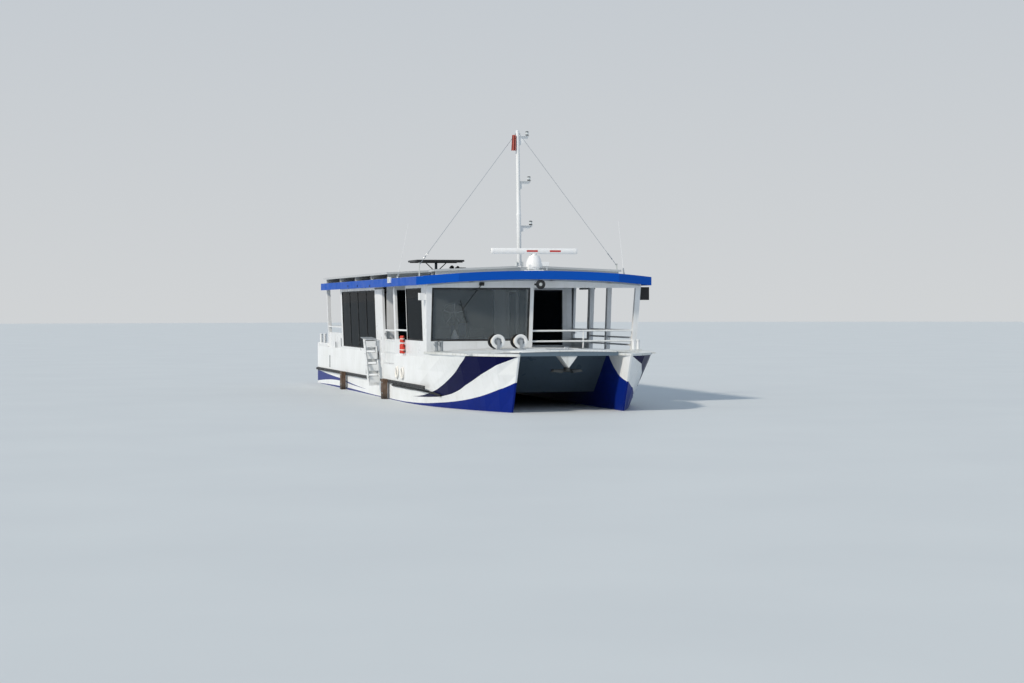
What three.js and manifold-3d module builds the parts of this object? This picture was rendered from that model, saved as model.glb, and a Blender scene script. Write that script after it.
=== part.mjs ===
// A small solar-electric passenger ferry: a decked catamaran with a long cambered roof,
// a wheelhouse to starboard at the front and a glazed saloon amidships.
// Millimetres. +X is forward, +Y is port, +Z is up. The origin is on the centreline,
// at the waterline and midway between the stems and the transoms.

import * as THREE from "three";
import { mergeVertices } from "three/addons/utils/BufferGeometryUtils.js";
import Module from "manifold-3d";

const wasm = await Module();
wasm.setup();

// Driving dimensions

const SEAT = 0.3; // the gap kept between pieces that touch
const OVER = 50; // how far a cutting block runs past what it cuts
const ABEAM = 3000; // beyond the side of everything
const SIDES = [{ tag: "starboard", s: -1 }, { tag: "port", s: 1 }];

// Hulls
const STERN_X = -9450;
const STEM_X = 9450; // at the deck
const STEM_RAKE = 0.464; // run aft for each unit down
const HULL_IN = 1270; // the flat inner face
const HULL_OUT = 2600; // the greatest half-breadth
const DECK_Z = 1250; // top of the bows
const FLOOR_Z = 880; // the sunk floor of the house
const BULWARK_Z = 1150;
const BULWARK_T = 80;
const TRANSOM_T = 100;
const WELL_FRONT_X = 5850; // the sunk floor ends here
const KEEL_Z = -750;
const COUNTER_Z = -180; // underside over the propellers
const WET_DECK_Z = 350; // underside of the bridge deck
const STRAKE_Z = 450;

// House
const FRONT_X = 6000; // outer face of the house front where it stands on the foredeck
const FRONT_RAKE = 0.13; // run forward for each unit up
const FRONT_T = 100;
const SIDE_Y = 2575; // outer face of the side walls at the bulwark
const SIDE_FLARE = 0.035; // the walls lean out this much for each unit up
const WALL_T = 60;
const SILL_Z = 1540; // wheelhouse windows
const HEAD_Z = 2790; // top of all windows
const SALOON_SILL_Z = 1225;
const SALOON_AFT_X = -5100;
const SALOON_FRONT_X = 950;
const GATE_FRONT_X = 2350;
const GATE_AFT_X = SALOON_FRONT_X + 2;
const GATE_POST = 200;
const GATE_HINGE_R = 25;
const WHEELHOUSE_AFT_X = 3850;
const WHEELHOUSE_IN_Y = -40; // inner side of the wheelhouse, just starboard of the centreline
const STERN_POST_X = -7600;
const RAIL_Z = 1770;
const RAIL = { half: 20, t: 40 }; // flat rails between posts

// Roof
const ROOF_EDGE_Z = 2850; // underside of the fascia along the sides
const FASCIA_H = 200;
const FASCIA_T = 40;
const ROOF_T = 60;
const ROOF_RISE = 135; // camber at the centreline
const ROOF_HALF = 2880; // half-breadth at the front corners
const ROOF_HALF_AFT = 2770;
const ROOF_FRONT_X = 6600;
const ROOF_CORNER_X = 6260;
const ROOF_AFT_X = -7800;
const ROOF_STRAIGHT_Y = 1950; // the front edge is straight out to here
const CAMBER_STEPS = 16;
const CUT_Z = [2400, 4300]; // heights below and above everything that the roof trims
const SUNK = 20; // what is joined to the roof or to a wall reaches this far into it

// Foredeck
const PLATE_T = 50;
const PLATE_FRONT_X = 8950; // the edge between the hulls
const PLATE_TOP = DECK_Z + SEAT + PLATE_T;
const PLATE_LIP = 20; // it stands this far outside the hulls
const PLATE_SETBACK = 60; // and between them its corner is this far inside their faces

// Rig
const MAST_X = 4800;
const MAST_PIVOT_Z = 3380;
const CHEEK_Y = 72; // inner face of the mast step's cheeks
const MAST_TOP_Z = 6630;
const MAST_RAKE_X = 150; // the masthead lies this far aft of the foot
const STAY_Y = 2480;
const RADAR_X = 6100;
const LAMP_X = 6485;

// Under water
const SHAFT_Y = 1900;
const SHAFT_Z = -520;
const PROP_X = -8140;
const PROP_R = 255;
const PROP_HUB = 85; // half the hub's length
const RUDDER_X = -8750;
const RUDDER_TOP_Z = -235;

// Paint and finish of each piece, from the photograph
const FINISH = {
  white: { color: 0xe9edf0, roughness: 0.35, metalness: 0 },
  hull: { color: 0xe6ebef, roughness: 0.3, metalness: 0 },
  deck: { color: 0xd9dedf, roughness: 0.7, metalness: 0 },
  floor: { color: 0x8b9196, roughness: 0.8, metalness: 0 },
  blue: { color: 0x0f4fa8, roughness: 0.35, metalness: 0 },
  black: { color: 0x1d1f22, roughness: 0.7, metalness: 0 },
  timber: { color: 0x4c3a2c, roughness: 0.9, metalness: 0 },
  glass: { color: 0x1c2730, roughness: 0.06, metalness: 0 },
  tube: { color: 0xd5dadd, roughness: 0.3, metalness: 0.2 },
  steel: { color: 0x9aa0a4, roughness: 0.4, metalness: 0.9 },
  galvanised: { color: 0x8d9396, roughness: 0.55, metalness: 0.8 },
  solar: { color: 0x2b3440, roughness: 0.2, metalness: 0.1 },
  seat: { color: 0x27405f, roughness: 0.85, metalness: 0 },
  bronze: { color: 0xa07a3c, roughness: 0.35, metalness: 0.9 },
  grey: { color: 0x6f777d, roughness: 0.6, metalness: 0 },
  underwater: { color: 0x2a3350, roughness: 0.7, metalness: 0 },
};

const ferry = new THREE.Group();

// Solids

// Turns a closed geometry into a solid that can be joined and cut.
function solid(geometry) {
  const bare = geometry.index ? geometry.toNonIndexed() : geometry.clone();
  bare.deleteAttribute("normal");
  bare.deleteAttribute("uv");
  const merged = mergeVertices(bare, 1e-3);
  const p = merged.attributes.position;
  const tris = [];
  let volume = 0;
  const [a, b, c] = [new THREE.Vector3(), new THREE.Vector3(), new THREE.Vector3()];
  for (let i = 0; i < merged.index.count; i += 3) {
    const [i0, i1, i2] = [0, 1, 2].map((k) => merged.index.getX(i + k));
    if (i0 === i1 || i1 === i2 || i2 === i0) continue;
    a.fromBufferAttribute(p, i0);
    b.fromBufferAttribute(p, i1);
    c.fromBufferAttribute(p, i2);
    volume += a.dot(b.clone().cross(c));
    tris.push(i0, i1, i2);
  }
  if (volume < 0) {
    for (let i = 0; i < tris.length; i += 3) [tris[i + 1], tris[i + 2]] = [tris[i + 2], tris[i + 1]];
  }
  const vertProperties = new Float32Array(p.array);
  const mesh = new wasm.Mesh({ numProp: 3, vertProperties, triVerts: new Uint32Array(tris) });
  mesh.merge();
  return new wasm.Manifold(mesh);
}

function join(...parts) {
  return parts.reduce((all, part) => all.add(part));
}

function cut(part, ...tools) {
  return tools.reduce((rest, tool) => rest.subtract(tool), part);
}

// Names a solid, gives it its finish and adds it to the ferry.
function place(name, part, finish) {
  const { vertProperties, triVerts } = part.getMesh();
  const geometry = new THREE.BufferGeometry();
  geometry.setAttribute("position", new THREE.BufferAttribute(new Float32Array(vertProperties), 3));
  geometry.setIndex(new THREE.BufferAttribute(new Uint32Array(triVerts), 1));
  const mesh = new THREE.Mesh(geometry, new THREE.MeshStandardMaterial(FINISH[finish]));
  mesh.name = name;
  ferry.add(mesh);
}

// A box given by its two limits along each axis.
function box([x0, x1], [y0, y1], [z0, z1]) {
  const g = new THREE.BoxGeometry(x1 - x0, Math.abs(y1 - y0), z1 - z0);
  g.translate((x0 + x1) / 2, (y0 + y1) / 2, (z0 + z1) / 2);
  return solid(g);
}

// A six-sided block whose corners come from a rule, for leaning walls and posts.
function block(corner) {
  const points = [];
  for (const k of [0, 1]) for (const j of [0, 1]) for (const i of [0, 1]) points.push(...corner(i, j, k));
  const quads = [[0, 2, 3, 1], [4, 5, 7, 6], [0, 1, 5, 4], [2, 6, 7, 3], [0, 4, 6, 2], [1, 3, 7, 5]];
  const g = new THREE.BufferGeometry();
  g.setAttribute("position", new THREE.Float32BufferAttribute(points, 3));
  g.setIndex(quads.flatMap(([a, b, c, d]) => [a, b, c, a, c, d]));
  return solid(g);
}

// A straight round bar between two points.
function bar(from, to, r0, r1 = r0, sides = 8) {
  const [a, b] = [new THREE.Vector3(...from), new THREE.Vector3(...to)];
  const run = b.clone().sub(a);
  const g = new THREE.CylinderGeometry(r1, r0, run.length(), sides);
  const up = new THREE.Vector3(0, 1, 0);
  g.applyQuaternion(new THREE.Quaternion().setFromUnitVectors(up, run.clone().normalize()));
  g.translate(...a.add(b).multiplyScalar(0.5).toArray());
  return solid(g);
}

function outline(points) {
  return new THREE.Shape(points.map(([u, v]) => new THREE.Vector2(u, v)));
}

// An outline in Y and Z, given its length along X.
function alongX(points, [x0, x1]) {
  const g = new THREE.ExtrudeGeometry(outline(points), { depth: x1 - x0, bevelEnabled: false });
  g.applyMatrix4(new THREE.Matrix4().set(0, 0, 1, x0, 1, 0, 0, 0, 0, 1, 0, 0, 0, 0, 0, 1));
  return solid(g);
}

// An outline in X and Z, given its width along Y.
function alongY(points, [y0, y1]) {
  const g = new THREE.ExtrudeGeometry(outline(points), { depth: y1 - y0, bevelEnabled: false });
  g.applyMatrix4(new THREE.Matrix4().set(1, 0, 0, 0, 0, 0, 1, y0, 0, 1, 0, 0, 0, 0, 0, 1));
  return solid(g);
}

// A plan outline in X and Y, given its height.
function alongZ(points, [z0, z1]) {
  const g = new THREE.ExtrudeGeometry(outline(points), { depth: z1 - z0, bevelEnabled: false });
  g.translate(0, 0, z0);
  return solid(g);
}

function lerp(a, b, t) {
  return a + (b - a) * Math.min(1, Math.max(0, t));
}

// Hulls

function stemX(z) {
  return STEM_X - (DECK_Z - z) * STEM_RAKE;
}

// Height of the keel, by share of the length: high over the propellers and rudders, then level,
// and rising again at the forefoot.
const KEEL_DROP = [0.085, 0.21];
const FOREFOOT = { from: 0.9, z: -560 };

function keelZ(t) {
  const aft = lerp(COUNTER_Z, KEEL_Z, (t - KEEL_DROP[0]) / (KEEL_DROP[1] - KEEL_DROP[0]));
  const fore = lerp(KEEL_Z, FOREFOOT.z, (t - FOREFOOT.from) / (1 - FOREFOOT.from));
  return Math.max(aft, fore);
}

// Half-breadth of the outer face: full amidships, drawn in to the stem, finer low down.
const ENTRY = { lowX: 3450, deckX: 5950, lowPower: 1, deckPower: 0.7, stemW: 40, tuck: 40 };

function outerY(x, z) {
  const up = lerp(0, 1, z / DECK_Z);
  const start = lerp(ENTRY.lowX, ENTRY.deckX, up);
  const run = lerp(0, 1, (x - start) / (stemX(z) - start));
  const fullness = (1 - run * run) ** lerp(ENTRY.lowPower, ENTRY.deckPower, up);
  const full = z < 0 ? HULL_OUT - ENTRY.tuck : HULL_OUT;
  const stem = HULL_IN + ENTRY.stemW;
  return stem + (full - stem) * fullness;
}

// Section points, from the inner top edge round under the keel to the outer top edge.
// z as a share of the keel depth below water, or a height above it; w as a share of the breadth.
const SECTION = [
  { z: DECK_Z, w: 0 }, { keel: 0.86, w: 0 }, { keel: 1, w: 0.12 }, { keel: 0.94, w: 0.5 },
  { keel: 0.6, w: 0.86 }, { z: 0, w: 1 }, { z: STRAKE_Z, w: 1 }, { z: 850, w: 1 }, { z: DECK_Z, w: 1 },
];
const STATIONS = [0, ...KEEL_DROP, 0.45, 0.66, 0.72, 0.78, 0.83, 0.88, 0.92, 0.955, 0.98, 1];

function hullBody(s) {
  const points = [];
  for (const t of STATIONS) {
    for (const { z, keel, w } of SECTION) {
      const height = keel === undefined ? z : keelZ(t) * keel;
      const x = lerp(STERN_X, stemX(height), t);
      const y = HULL_IN + (outerY(x, height) - HULL_IN) * w;
      points.push(x, y * s, height);
    }
  }
  const n = SECTION.length;
  const index = [];
  for (let i = 0; i < STATIONS.length - 1; i += 1) {
    for (let j = 0; j < n; j += 1) {
      const k = (j + 1) % n;
      const [a, b, c, d] = [i * n + j, i * n + k, (i + 1) * n + k, (i + 1) * n + j];
      index.push(a, b, c, a, c, d);
    }
  }
  const last = (STATIONS.length - 1) * n;
  for (let j = 1; j < n - 1; j += 1) {
    index.push(0, j + 1, j);
    index.push(last, last + j, last + j + 1);
  }
  const g = new THREE.BufferGeometry();
  g.setAttribute("position", new THREE.Float32BufferAttribute(points, 3));
  g.setIndex(index);
  return solid(g);
}

// A span of Y on one side of the boat, in rising order.
function onSide(s, near, far) {
  return s > 0 ? [near, far] : [-far, -near];
}

// The shaft tube leaves the hull ahead of the propeller, on a strut, and a pad carries the rudder.
const SHAFT_TUBE = { fromX: -6300, r: 60, strutX: [-7960, -7820], strutHalf: 25 };
const RUDDER_PAD = { halfX: 110, halfY: 90 };

function shaftBracket(s) {
  const y = SHAFT_Y * s;
  const { fromX, r, strutX, strutHalf } = SHAFT_TUBE;
  const tube = bar([fromX, y, SHAFT_Z], [PROP_X + PROP_HUB, y, SHAFT_Z], r, r, 10);
  const strut = box(strutX, [y - strutHalf, y + strutHalf], [SHAFT_Z, -100]);
  const { halfX, halfY } = RUDDER_PAD;
  const pad = box([RUDDER_X - halfX, RUDDER_X + halfX], [y - halfY, y + halfY], [RUDDER_TOP_Z, 100]);
  return join(tube, strut, pad);
}

// Mooring bollards: a pair of posts with caps on a foot, in line with the boat at the stern and
// across it at the corners of the house front.
const BOLLARD_H = { foot: 20, post: 230, cap: 25 };
const STERN_BOLLARD = { x: -9000, y: 2330, apart: [100, 0], foot: [180, 70], r: 55, capR: 75 };
const CORNER_BOLLARD = { x: 6500, y: 2400, apart: [0, 55], foot: [80, 120], r: 38, capR: 50 };

function bollard({ x, y, apart, foot, r, capR }, s, z) {
  const [footX, footY] = foot;
  const neck = z + BOLLARD_H.post;
  const parts = [box(
    [x - footX, x + footX], [y * s - footY, y * s + footY], [z, z + BOLLARD_H.foot])];
  for (const side of [-1, 1]) {
    const [px, py] = [x + side * apart[0], y * s + side * apart[1]];
    parts.push(bar([px, py, z], [px, py, neck], r, r, 10));
    parts.push(bar([px, py, neck], [px, py, neck + BOLLARD_H.cap], capR, capR, 10));
  }
  return join(...parts);
}

// Each hull is decked flat at the level of the house floor.
function hull(s) {
  const across = onSide(s, HULL_IN - OVER, HULL_OUT + OVER);
  const above = box([STERN_X - OVER, STEM_X + OVER], across, [FLOOR_Z, DECK_Z + OVER]);
  return cut(join(hullBody(s), shaftBracket(s)), above);
}

// Above that level: a bow on each hull, with a bulwark that runs aft from it to the gateway.
function bow(s) {
  const [inner, outer] = [HULL_IN - OVER, HULL_OUT + OVER];
  const above = DECK_Z + OVER;
  const long = [STERN_X - OVER, STEM_X + OVER];
  const below = box(long, onSide(s, inner, outer), [KEEL_Z - OVER, FLOOR_Z + SEAT]);
  const aft = box([STERN_X - OVER, GATE_FRONT_X], onSide(s, inner, outer), [FLOOR_Z, above]);
  const inside = box([STERN_X, WELL_FRONT_X], onSide(s, inner, HULL_OUT - BULWARK_T), [FLOOR_Z, above]);
  const over = box([STERN_X, WELL_FRONT_X], onSide(s, inner, outer), [BULWARK_Z, above]);
  return cut(hullBody(s), below, aft, inside, over);
}

// One low bulwark runs from gateway to gateway round the stern.
function sternBulwark() {
  const half = HULL_OUT - BULWARK_T;
  const inside = STERN_X + TRANSOM_T;
  const plan = [
    [STERN_X, -HULL_OUT], [GATE_AFT_X, -HULL_OUT], [GATE_AFT_X, -half], [inside, -half],
    [inside, half], [GATE_AFT_X, half], [GATE_AFT_X, HULL_OUT], [STERN_X, HULL_OUT],
  ];
  return alongZ(plan, [FLOOR_Z + SEAT, BULWARK_Z]);
}

// The bridge deck joins the hulls, and a panel slopes up from it to the foredeck between the bows.
const BOW_PANEL_X = [6750, 7750];
const BETWEEN_HULLS = [-HULL_IN + SEAT, HULL_IN - SEAT];

function bridgeDeck() {
  return box([STERN_X, WELL_FRONT_X], BETWEEN_HULLS, [WET_DECK_Z, FLOOR_Z]);
}

function bowPanel() {
  const back = WELL_FRONT_X + SEAT;
  const [low, high] = BOW_PANEL_X;
  return alongY(
    [[back, WET_DECK_Z], [low, WET_DECK_Z], [high, DECK_Z], [back, DECK_Z]], BETWEEN_HULLS);
}

// The thin foredeck plate follows the hulls to the stems and is set back between them.
const PLATE_STATIONS = [WELL_FRONT_X, 6500, 7100, 7600, 8050, 8450, 8800, 9120, 9330];

function foredeckOutline() {
  const edge = PLATE_STATIONS.map((x) => [x, outerY(x, DECK_Z) + PLATE_LIP]);
  const end = STEM_X + PLATE_LIP;
  const corner = [PLATE_FRONT_X, HULL_IN - PLATE_SETBACK];
  const port = [...edge, [end, HULL_IN + ENTRY.stemW], [end, HULL_IN], corner];
  const starboard = port.map(([x, y]) => [x, -y]).reverse();
  return [...port, ...starboard];
}

// Under the plate, a three-sided housing carries the anchor.
const HOUSING = { half: 210, foot: 985, x: [8560, PLATE_FRONT_X - 10] };

function foredeck() {
  const plate = alongZ(foredeckOutline(), [DECK_Z + SEAT, PLATE_TOP]);
  const { half, foot, x } = HOUSING;
  const wedge = alongX([[-half, DECK_Z + 10], [0, foot], [half, DECK_Z + 10]], x);
  const bollards = SIDES.map(({ s }) => bollard(CORNER_BOLLARD, s, PLATE_TOP));
  return join(plate, wedge, ...bollards);
}

// The anchor: its shank, a crown across it and two flukes, with heights as drops below the housing.
const SHANK = { x: [8600, 8900], half: 25, drop: 70 };
const CROWN = { x: [8600, 8680], half: 330, drop: [110, 40] };
const FLUKE_X = [8600, 8860];
const FLUKE = [{ y: 130, drop: 120 }, { y: 340, drop: 90 }, { y: 300, drop: 45 }, { y: 110, drop: 60 }];

function anchor() {
  const z = HOUSING.foot - SEAT;
  const shank = box(SHANK.x, [-SHANK.half, SHANK.half], [z - SHANK.drop, z]);
  const crown = box(CROWN.x, [-CROWN.half, CROWN.half], CROWN.drop.map((drop) => z - drop));
  const flukes = SIDES.map(({ s }) => alongX(FLUKE.map(({ y, drop }) => [s * y, z - drop]), FLUKE_X));
  return join(shank, crown, ...flukes);
}

// The strake is a fat half-round bar in two lengths on a thin backing strip, with two timbers.
const STRAKE = { runs: [[STERN_X + 40, -650], [900, 5900]], proud: 60, root: 45, nose: 25, strip: 12 };
const TIMBER = { xs: [-4350, 1650], w: 260, t: 120, z: [-250, STRAKE_Z + 60] };

function strake(s) {
  const { runs, proud, root, nose, strip } = STRAKE;
  const face = HULL_OUT + SEAT;
  const [y0, y1] = [face * s, (face + proud) * s];
  const section = [
    [y0, STRAKE_Z - root], [y1, STRAKE_Z - nose], [y1, STRAKE_Z + nose], [y0, STRAKE_Z + root],
  ];
  const ends = [runs[0][0], runs[1][1]];
  const backing = box(ends, onSide(s, face, face + strip), [STRAKE_Z - nose, STRAKE_Z + nose]);
  return join(backing, ...runs.map((run) => alongX(section, run)));
}

function timber(x, s) {
  const near = HULL_OUT + STRAKE.proud + 2 * SEAT;
  return box([x - TIMBER.w / 2, x + TIMBER.w / 2], onSide(s, near, near + TIMBER.t), TIMBER.z);
}

// House

function sideY(z) {
  return SIDE_Y + (z - BULWARK_Z) * SIDE_FLARE;
}

function frontX(z) {
  return FRONT_X + (z - PLATE_TOP) * FRONT_RAKE;
}

// Camber of the roof above its side edge.
function rise(y) {
  return ROOF_RISE * (1 - (y / ROOF_HALF) ** 2);
}

const CEILING_Z = ROOF_EDGE_Z + FASCIA_H - ROOF_T; // underside of the roof panel at the edge

// A stretch of leaning side wall between two stations and two heights.
function wall(s, [x0, x1], [z0, z1], outset = 0, thickness = WALL_T) {
  return block((i, j, k) => {
    const z = k ? z1 : z0;
    const y = sideY(z) + outset - (j ? 0 : thickness);
    return [i ? x1 : x0, y * s, z];
  });
}

const WALL_TOP_Z = CEILING_Z + ROOF_RISE; // walls and posts are then trimmed to the roof
const WALL_FOOT_Z = BULWARK_Z + SEAT;

// Points along the camber, from starboard to port.
function camber(half, z) {
  const points = [];
  for (let i = 0; i <= CAMBER_STEPS; i += 1) {
    const y = lerp(-half, half, i / CAMBER_STEPS);
    points.push([y, z + rise(y)]);
  }
  return points;
}

function camberedSlab(z0, z1) {
  const half = ROOF_HALF + OVER;
  const top = camber(half, z1);
  const bottom = camber(half, z0).reverse();
  return alongX([...bottom, ...top], [ROOF_AFT_X - OVER, ROOF_FRONT_X + OVER]);
}

// The roof's outline, drawn in by an even margin. At the slanted front corners each unit of margin
// moves the corner by these shares of it.
const CORNER_SHARE = { x: 0.6, y: 0.3 };

function roofPlan(i) {
  const port = [
    [ROOF_AFT_X + i, ROOF_HALF_AFT - i],
    [ROOF_CORNER_X - i * CORNER_SHARE.x, ROOF_HALF - i],
    [ROOF_FRONT_X - i, ROOF_STRAIGHT_Y - i * CORNER_SHARE.y],
  ];
  return [...port, ...port.map(([x, y]) => [x, -y]).reverse()].reverse();
}

// Trims a piece that stands under the roof to the roof panel and the fascia.
function underRoof(part) {
  const panel = camberedSlab(CEILING_Z - SEAT, CUT_Z[1]);
  const inside = alongZ(roofPlan(FASCIA_T + SEAT), [CUT_Z[0], CUT_Z[1] + ROOF_RISE + OVER]);
  const edge = cut(camberedSlab(ROOF_EDGE_Z - SEAT, CUT_Z[1]), inside);
  return cut(part, panel, edge);
}

// Trims a piece that stands on the roof to the roof's upper face.
function onRoof(part) {
  return cut(part, camberedSlab(CUT_Z[0], ROOF_EDGE_Z + FASCIA_H + SEAT));
}

// An upright transverse wall under the cambered roof, with rectangular openings.
function crossWall([x0, x1], half, openings, foot = FLOOR_Z + SEAT) {
  const body = box([x0, x1], [-half, half], [foot, WALL_TOP_Z]);
  return cut(underRoof(body), ...openings.map(({ y, z }) => box([x0 - OVER, x1 + OVER], y, z)));
}

const WINDSCREEN = { y: [-2490, -110], z: [SILL_Z, HEAD_Z] };

// The bay is open from the centre post to a corner post of even width.
const FRONT_BAY = { y: -25, post: 125, z: [PLATE_TOP - OVER, HEAD_Z] };

function bayEdge(z) {
  return sideY(z) - FRONT_BAY.post;
}

// Shears an upright transverse solid so that it leans with the house front.
function leanForward(geometry) {
  return geometry.applyMatrix4(new THREE.Matrix4().set(
    1, 0, FRONT_RAKE, -PLATE_TOP * FRONT_RAKE, 0, 1, 0, 0, 0, 0, 1, 0, 0, 0, 0, 1));
}

function rakedPanel(points, [x0, x1]) {
  const g = new THREE.ExtrudeGeometry(outline(points), { depth: x1 - x0, bevelEnabled: false });
  g.applyMatrix4(new THREE.Matrix4().set(0, 0, 1, x0, 1, 0, 0, 0, 0, 1, 0, 0, 0, 0, 0, 1));
  return solid(leanForward(g));
}

function rectangle([y0, y1], [z0, z1]) {
  return [[y0, z0], [y1, z0], [y1, z1], [y0, z1]];
}

function frontFrame() {
  const foot = PLATE_TOP + SEAT;
  const [low, high] = [sideY(foot), sideY(WALL_TOP_Z)];
  const span = [FRONT_X - FRONT_T, FRONT_X];
  const sheet = [[-low, foot], [low, foot], [high, WALL_TOP_Z], [-high, WALL_TOP_Z]];
  const face = underRoof(rakedPanel(sheet, span));
  const wide = [FRONT_X - FRONT_T - OVER, FRONT_X + OVER];
  const [z0, z1] = FRONT_BAY.z;
  const bay = [[FRONT_BAY.y, z0], [bayEdge(z0), z0], [bayEdge(z1), z1], [FRONT_BAY.y, z1]];
  return cut(face, rakedPanel(rectangle(WINDSCREEN.y, WINDSCREEN.z), wide), rakedPanel(bay, wide));
}

function pane(opening, [x0, x1]) {
  const [y0, y1] = opening.y;
  const [z0, z1] = opening.z;
  return rakedPanel(rectangle([y0 + SEAT, y1 - SEAT], [z0 + SEAT, z1 - SEAT]), [x0, x1]);
}

// Side walls end against the sloping back of the house front and clear of the foredeck plate.
const PLATE_GAP = 20;
const WALL_END_X = 6500; // they run to here before they are cut back

function behindFront(part) {
  const ahead = [FRONT_X - FRONT_T - SEAT, ROOF_FRONT_X];
  const front = rakedPanel(rectangle([-ABEAM, ABEAM], [FLOOR_Z, CUT_Z[1]]), ahead);
  const plate = box([WELL_FRONT_X - PLATE_GAP - SEAT, FRONT_X], [-ABEAM, ABEAM], [0, PLATE_TOP + SEAT]);
  return underRoof(cut(part, front, plate));
}

const SIDE_WINDOW = { x: [WHEELHOUSE_AFT_X + 60, 5640], z: [SILL_Z, HEAD_Z] };
const SALOON_WINDOW = { x: [-4980, -60], z: [SALOON_SILL_Z, HEAD_Z] };

function windowHole(s, { x, z }) {
  return wall(s, x, z, OVER, WALL_T + 2 * OVER);
}

// A glass pane in a side wall, a little inside its outer face.
const PANE = { inset: 8, t: 12 };

function sidePane(s, { x, z }) {
  const [span, height] = [[x[0] + SEAT, x[1] - SEAT], [z[0] + SEAT, z[1] - SEAT]];
  return wall(s, span, height, -PANE.inset, PANE.t);
}

// A flat rail in a side wall, centred on a height.
function sideRail(s, x, z, inset) {
  return wall(s, x, [z - RAIL.half, z + RAIL.half], -inset, RAIL.t);
}

// Wheelhouse side: its panel, the gate post and the rail between them, in one.
function wheelhouseSide() {
  const panel = wall(-1, [WHEELHOUSE_AFT_X, WALL_END_X], [WALL_FOOT_Z, WALL_TOP_Z]);
  const post = wall(-1, [GATE_FRONT_X, GATE_FRONT_X + GATE_POST], [WALL_FOOT_Z, WALL_TOP_Z]);
  const rail = sideRail(-1, [GATE_FRONT_X, WHEELHOUSE_AFT_X + RAIL.half], RAIL_Z, 10);
  return cut(behindFront(join(panel, post, rail)), windowHole(-1, SIDE_WINDOW));
}

// Under that rail, a half-wall fills the side up to the sills.
function halfWall() {
  const span = [GATE_FRONT_X + GATE_POST + SEAT, WHEELHOUSE_AFT_X - SEAT];
  return wall(-1, span, [WALL_FOOT_Z, SILL_Z]);
}

function saloonSide(s) {
  const body = wall(s, [SALOON_AFT_X, SALOON_FRONT_X], [WALL_FOOT_Z, WALL_TOP_Z]);
  const side = cut(underRoof(body), windowHole(s, SALOON_WINDOW));
  return s < 0 ? join(side, ...stepBrackets()) : side;
}

// Open side of the bay: two posts and three rails, up to the front corner post.
const BAY_RAILS = [1420, 1595, RAIL_Z];
const BAY_POSTS = [{ x: GATE_FRONT_X, w: GATE_POST }, { x: WHEELHOUSE_AFT_X, w: 130 }];
const BAY_POST_T = 110;

function baySide() {
  const uprights = BAY_POSTS.map(({ x, w }) => wall(1, [x, x + w], [WALL_FOOT_Z, WALL_TOP_Z], 0, BAY_POST_T));
  const inset = (BAY_POST_T - RAIL.t) / 2;
  const rails = BAY_RAILS.map((z) => sideRail(1, [GATE_FRONT_X + GATE_POST / 2, WALL_END_X], z, inset));
  return behindFront(join(...uprights, ...rails));
}

// The front rail is round tube: two bars between the posts, and a stanchion.
const FRONT_RAIL = { inset: 60, r: 22, z: [1520, RAIL_Z], stanchionY: 1260 };

function frontRail() {
  const { inset, r, z: heights, stanchionY } = FRONT_RAIL;
  const at = (y, z) => [frontX(z) - inset, y, z];
  const rails = heights.map((z) => bar(at(FRONT_BAY.y + SEAT, z), at(bayEdge(z) - SEAT - 1, z), r));
  const foot = PLATE_TOP + SEAT + r * FRONT_RAKE; // the lean lifts the foot's back edge clear
  const post = bar(at(stanchionY, foot), at(stanchionY, RAIL_Z), r);
  return join(...rails, post);
}

// Wheelhouse walls inside: one across at its aft end and one along its inner side.
const INNER_T = 50;
const INNER_DOOR = { x: [4100, 4860], z: [FLOOR_Z + 20, 2830] };
const INNER_WINDOW_X = [4990, 5700];
const AFT_WINDOW_Y = [-2300, -400];
const WALL_CLEAR = 8; // cross walls stop this far inside the side walls

function innerWalls() {
  const half = sideY(WALL_FOOT_Z) - WALL_T - WALL_CLEAR;
  const z = [FLOOR_Z + SEAT, WALL_TOP_Z];
  const [acrossX, alongY0] = [WHEELHOUSE_AFT_X, WHEELHOUSE_IN_Y - INNER_T];
  const across = box([acrossX, acrossX + INNER_T], [-half, WHEELHOUSE_IN_Y], z);
  const along = box([acrossX, WELL_FRONT_X - SEAT], [alongY0, WHEELHOUSE_IN_Y], z);
  const through = [alongY0 - OVER, WHEELHOUSE_IN_Y + OVER];
  const door = box(INNER_DOOR.x, through, INNER_DOOR.z);
  const sideWindow = box(INNER_WINDOW_X, through, [SILL_Z, HEAD_Z]);
  const aftWindow = box([acrossX - OVER, acrossX + INNER_T + OVER], AFT_WINDOW_Y, [SILL_Z, HEAD_Z]);
  return cut(underRoof(join(across, along)), door, aftWindow, sideWindow);
}

// The wheelhouse door hangs on a full-length knuckle at its forward edge and opens into the bay.
const DOOR_T = 40;
const DOOR_GAP = 6;
const KNUCKLE_R = 6;
const DOOR_HINGE_X = INNER_DOOR.x[1] - KNUCKLE_R - SEAT;

function wheelhouseDoor() {
  const z = [INNER_DOOR.z[0] + DOOR_GAP, INNER_DOOR.z[1] - DOOR_GAP];
  const x = [INNER_DOOR.x[0] + DOOR_GAP, DOOR_HINGE_X];
  const leaf = box(x, [WHEELHOUSE_IN_Y - DOOR_T, WHEELHOUSE_IN_Y], z);
  const [low, high] = z.map((end) => [DOOR_HINGE_X, WHEELHOUSE_IN_Y, end]);
  const knuckle = bar(low, high, KNUCKLE_R);
  return join(leaf, knuckle);
}

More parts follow.
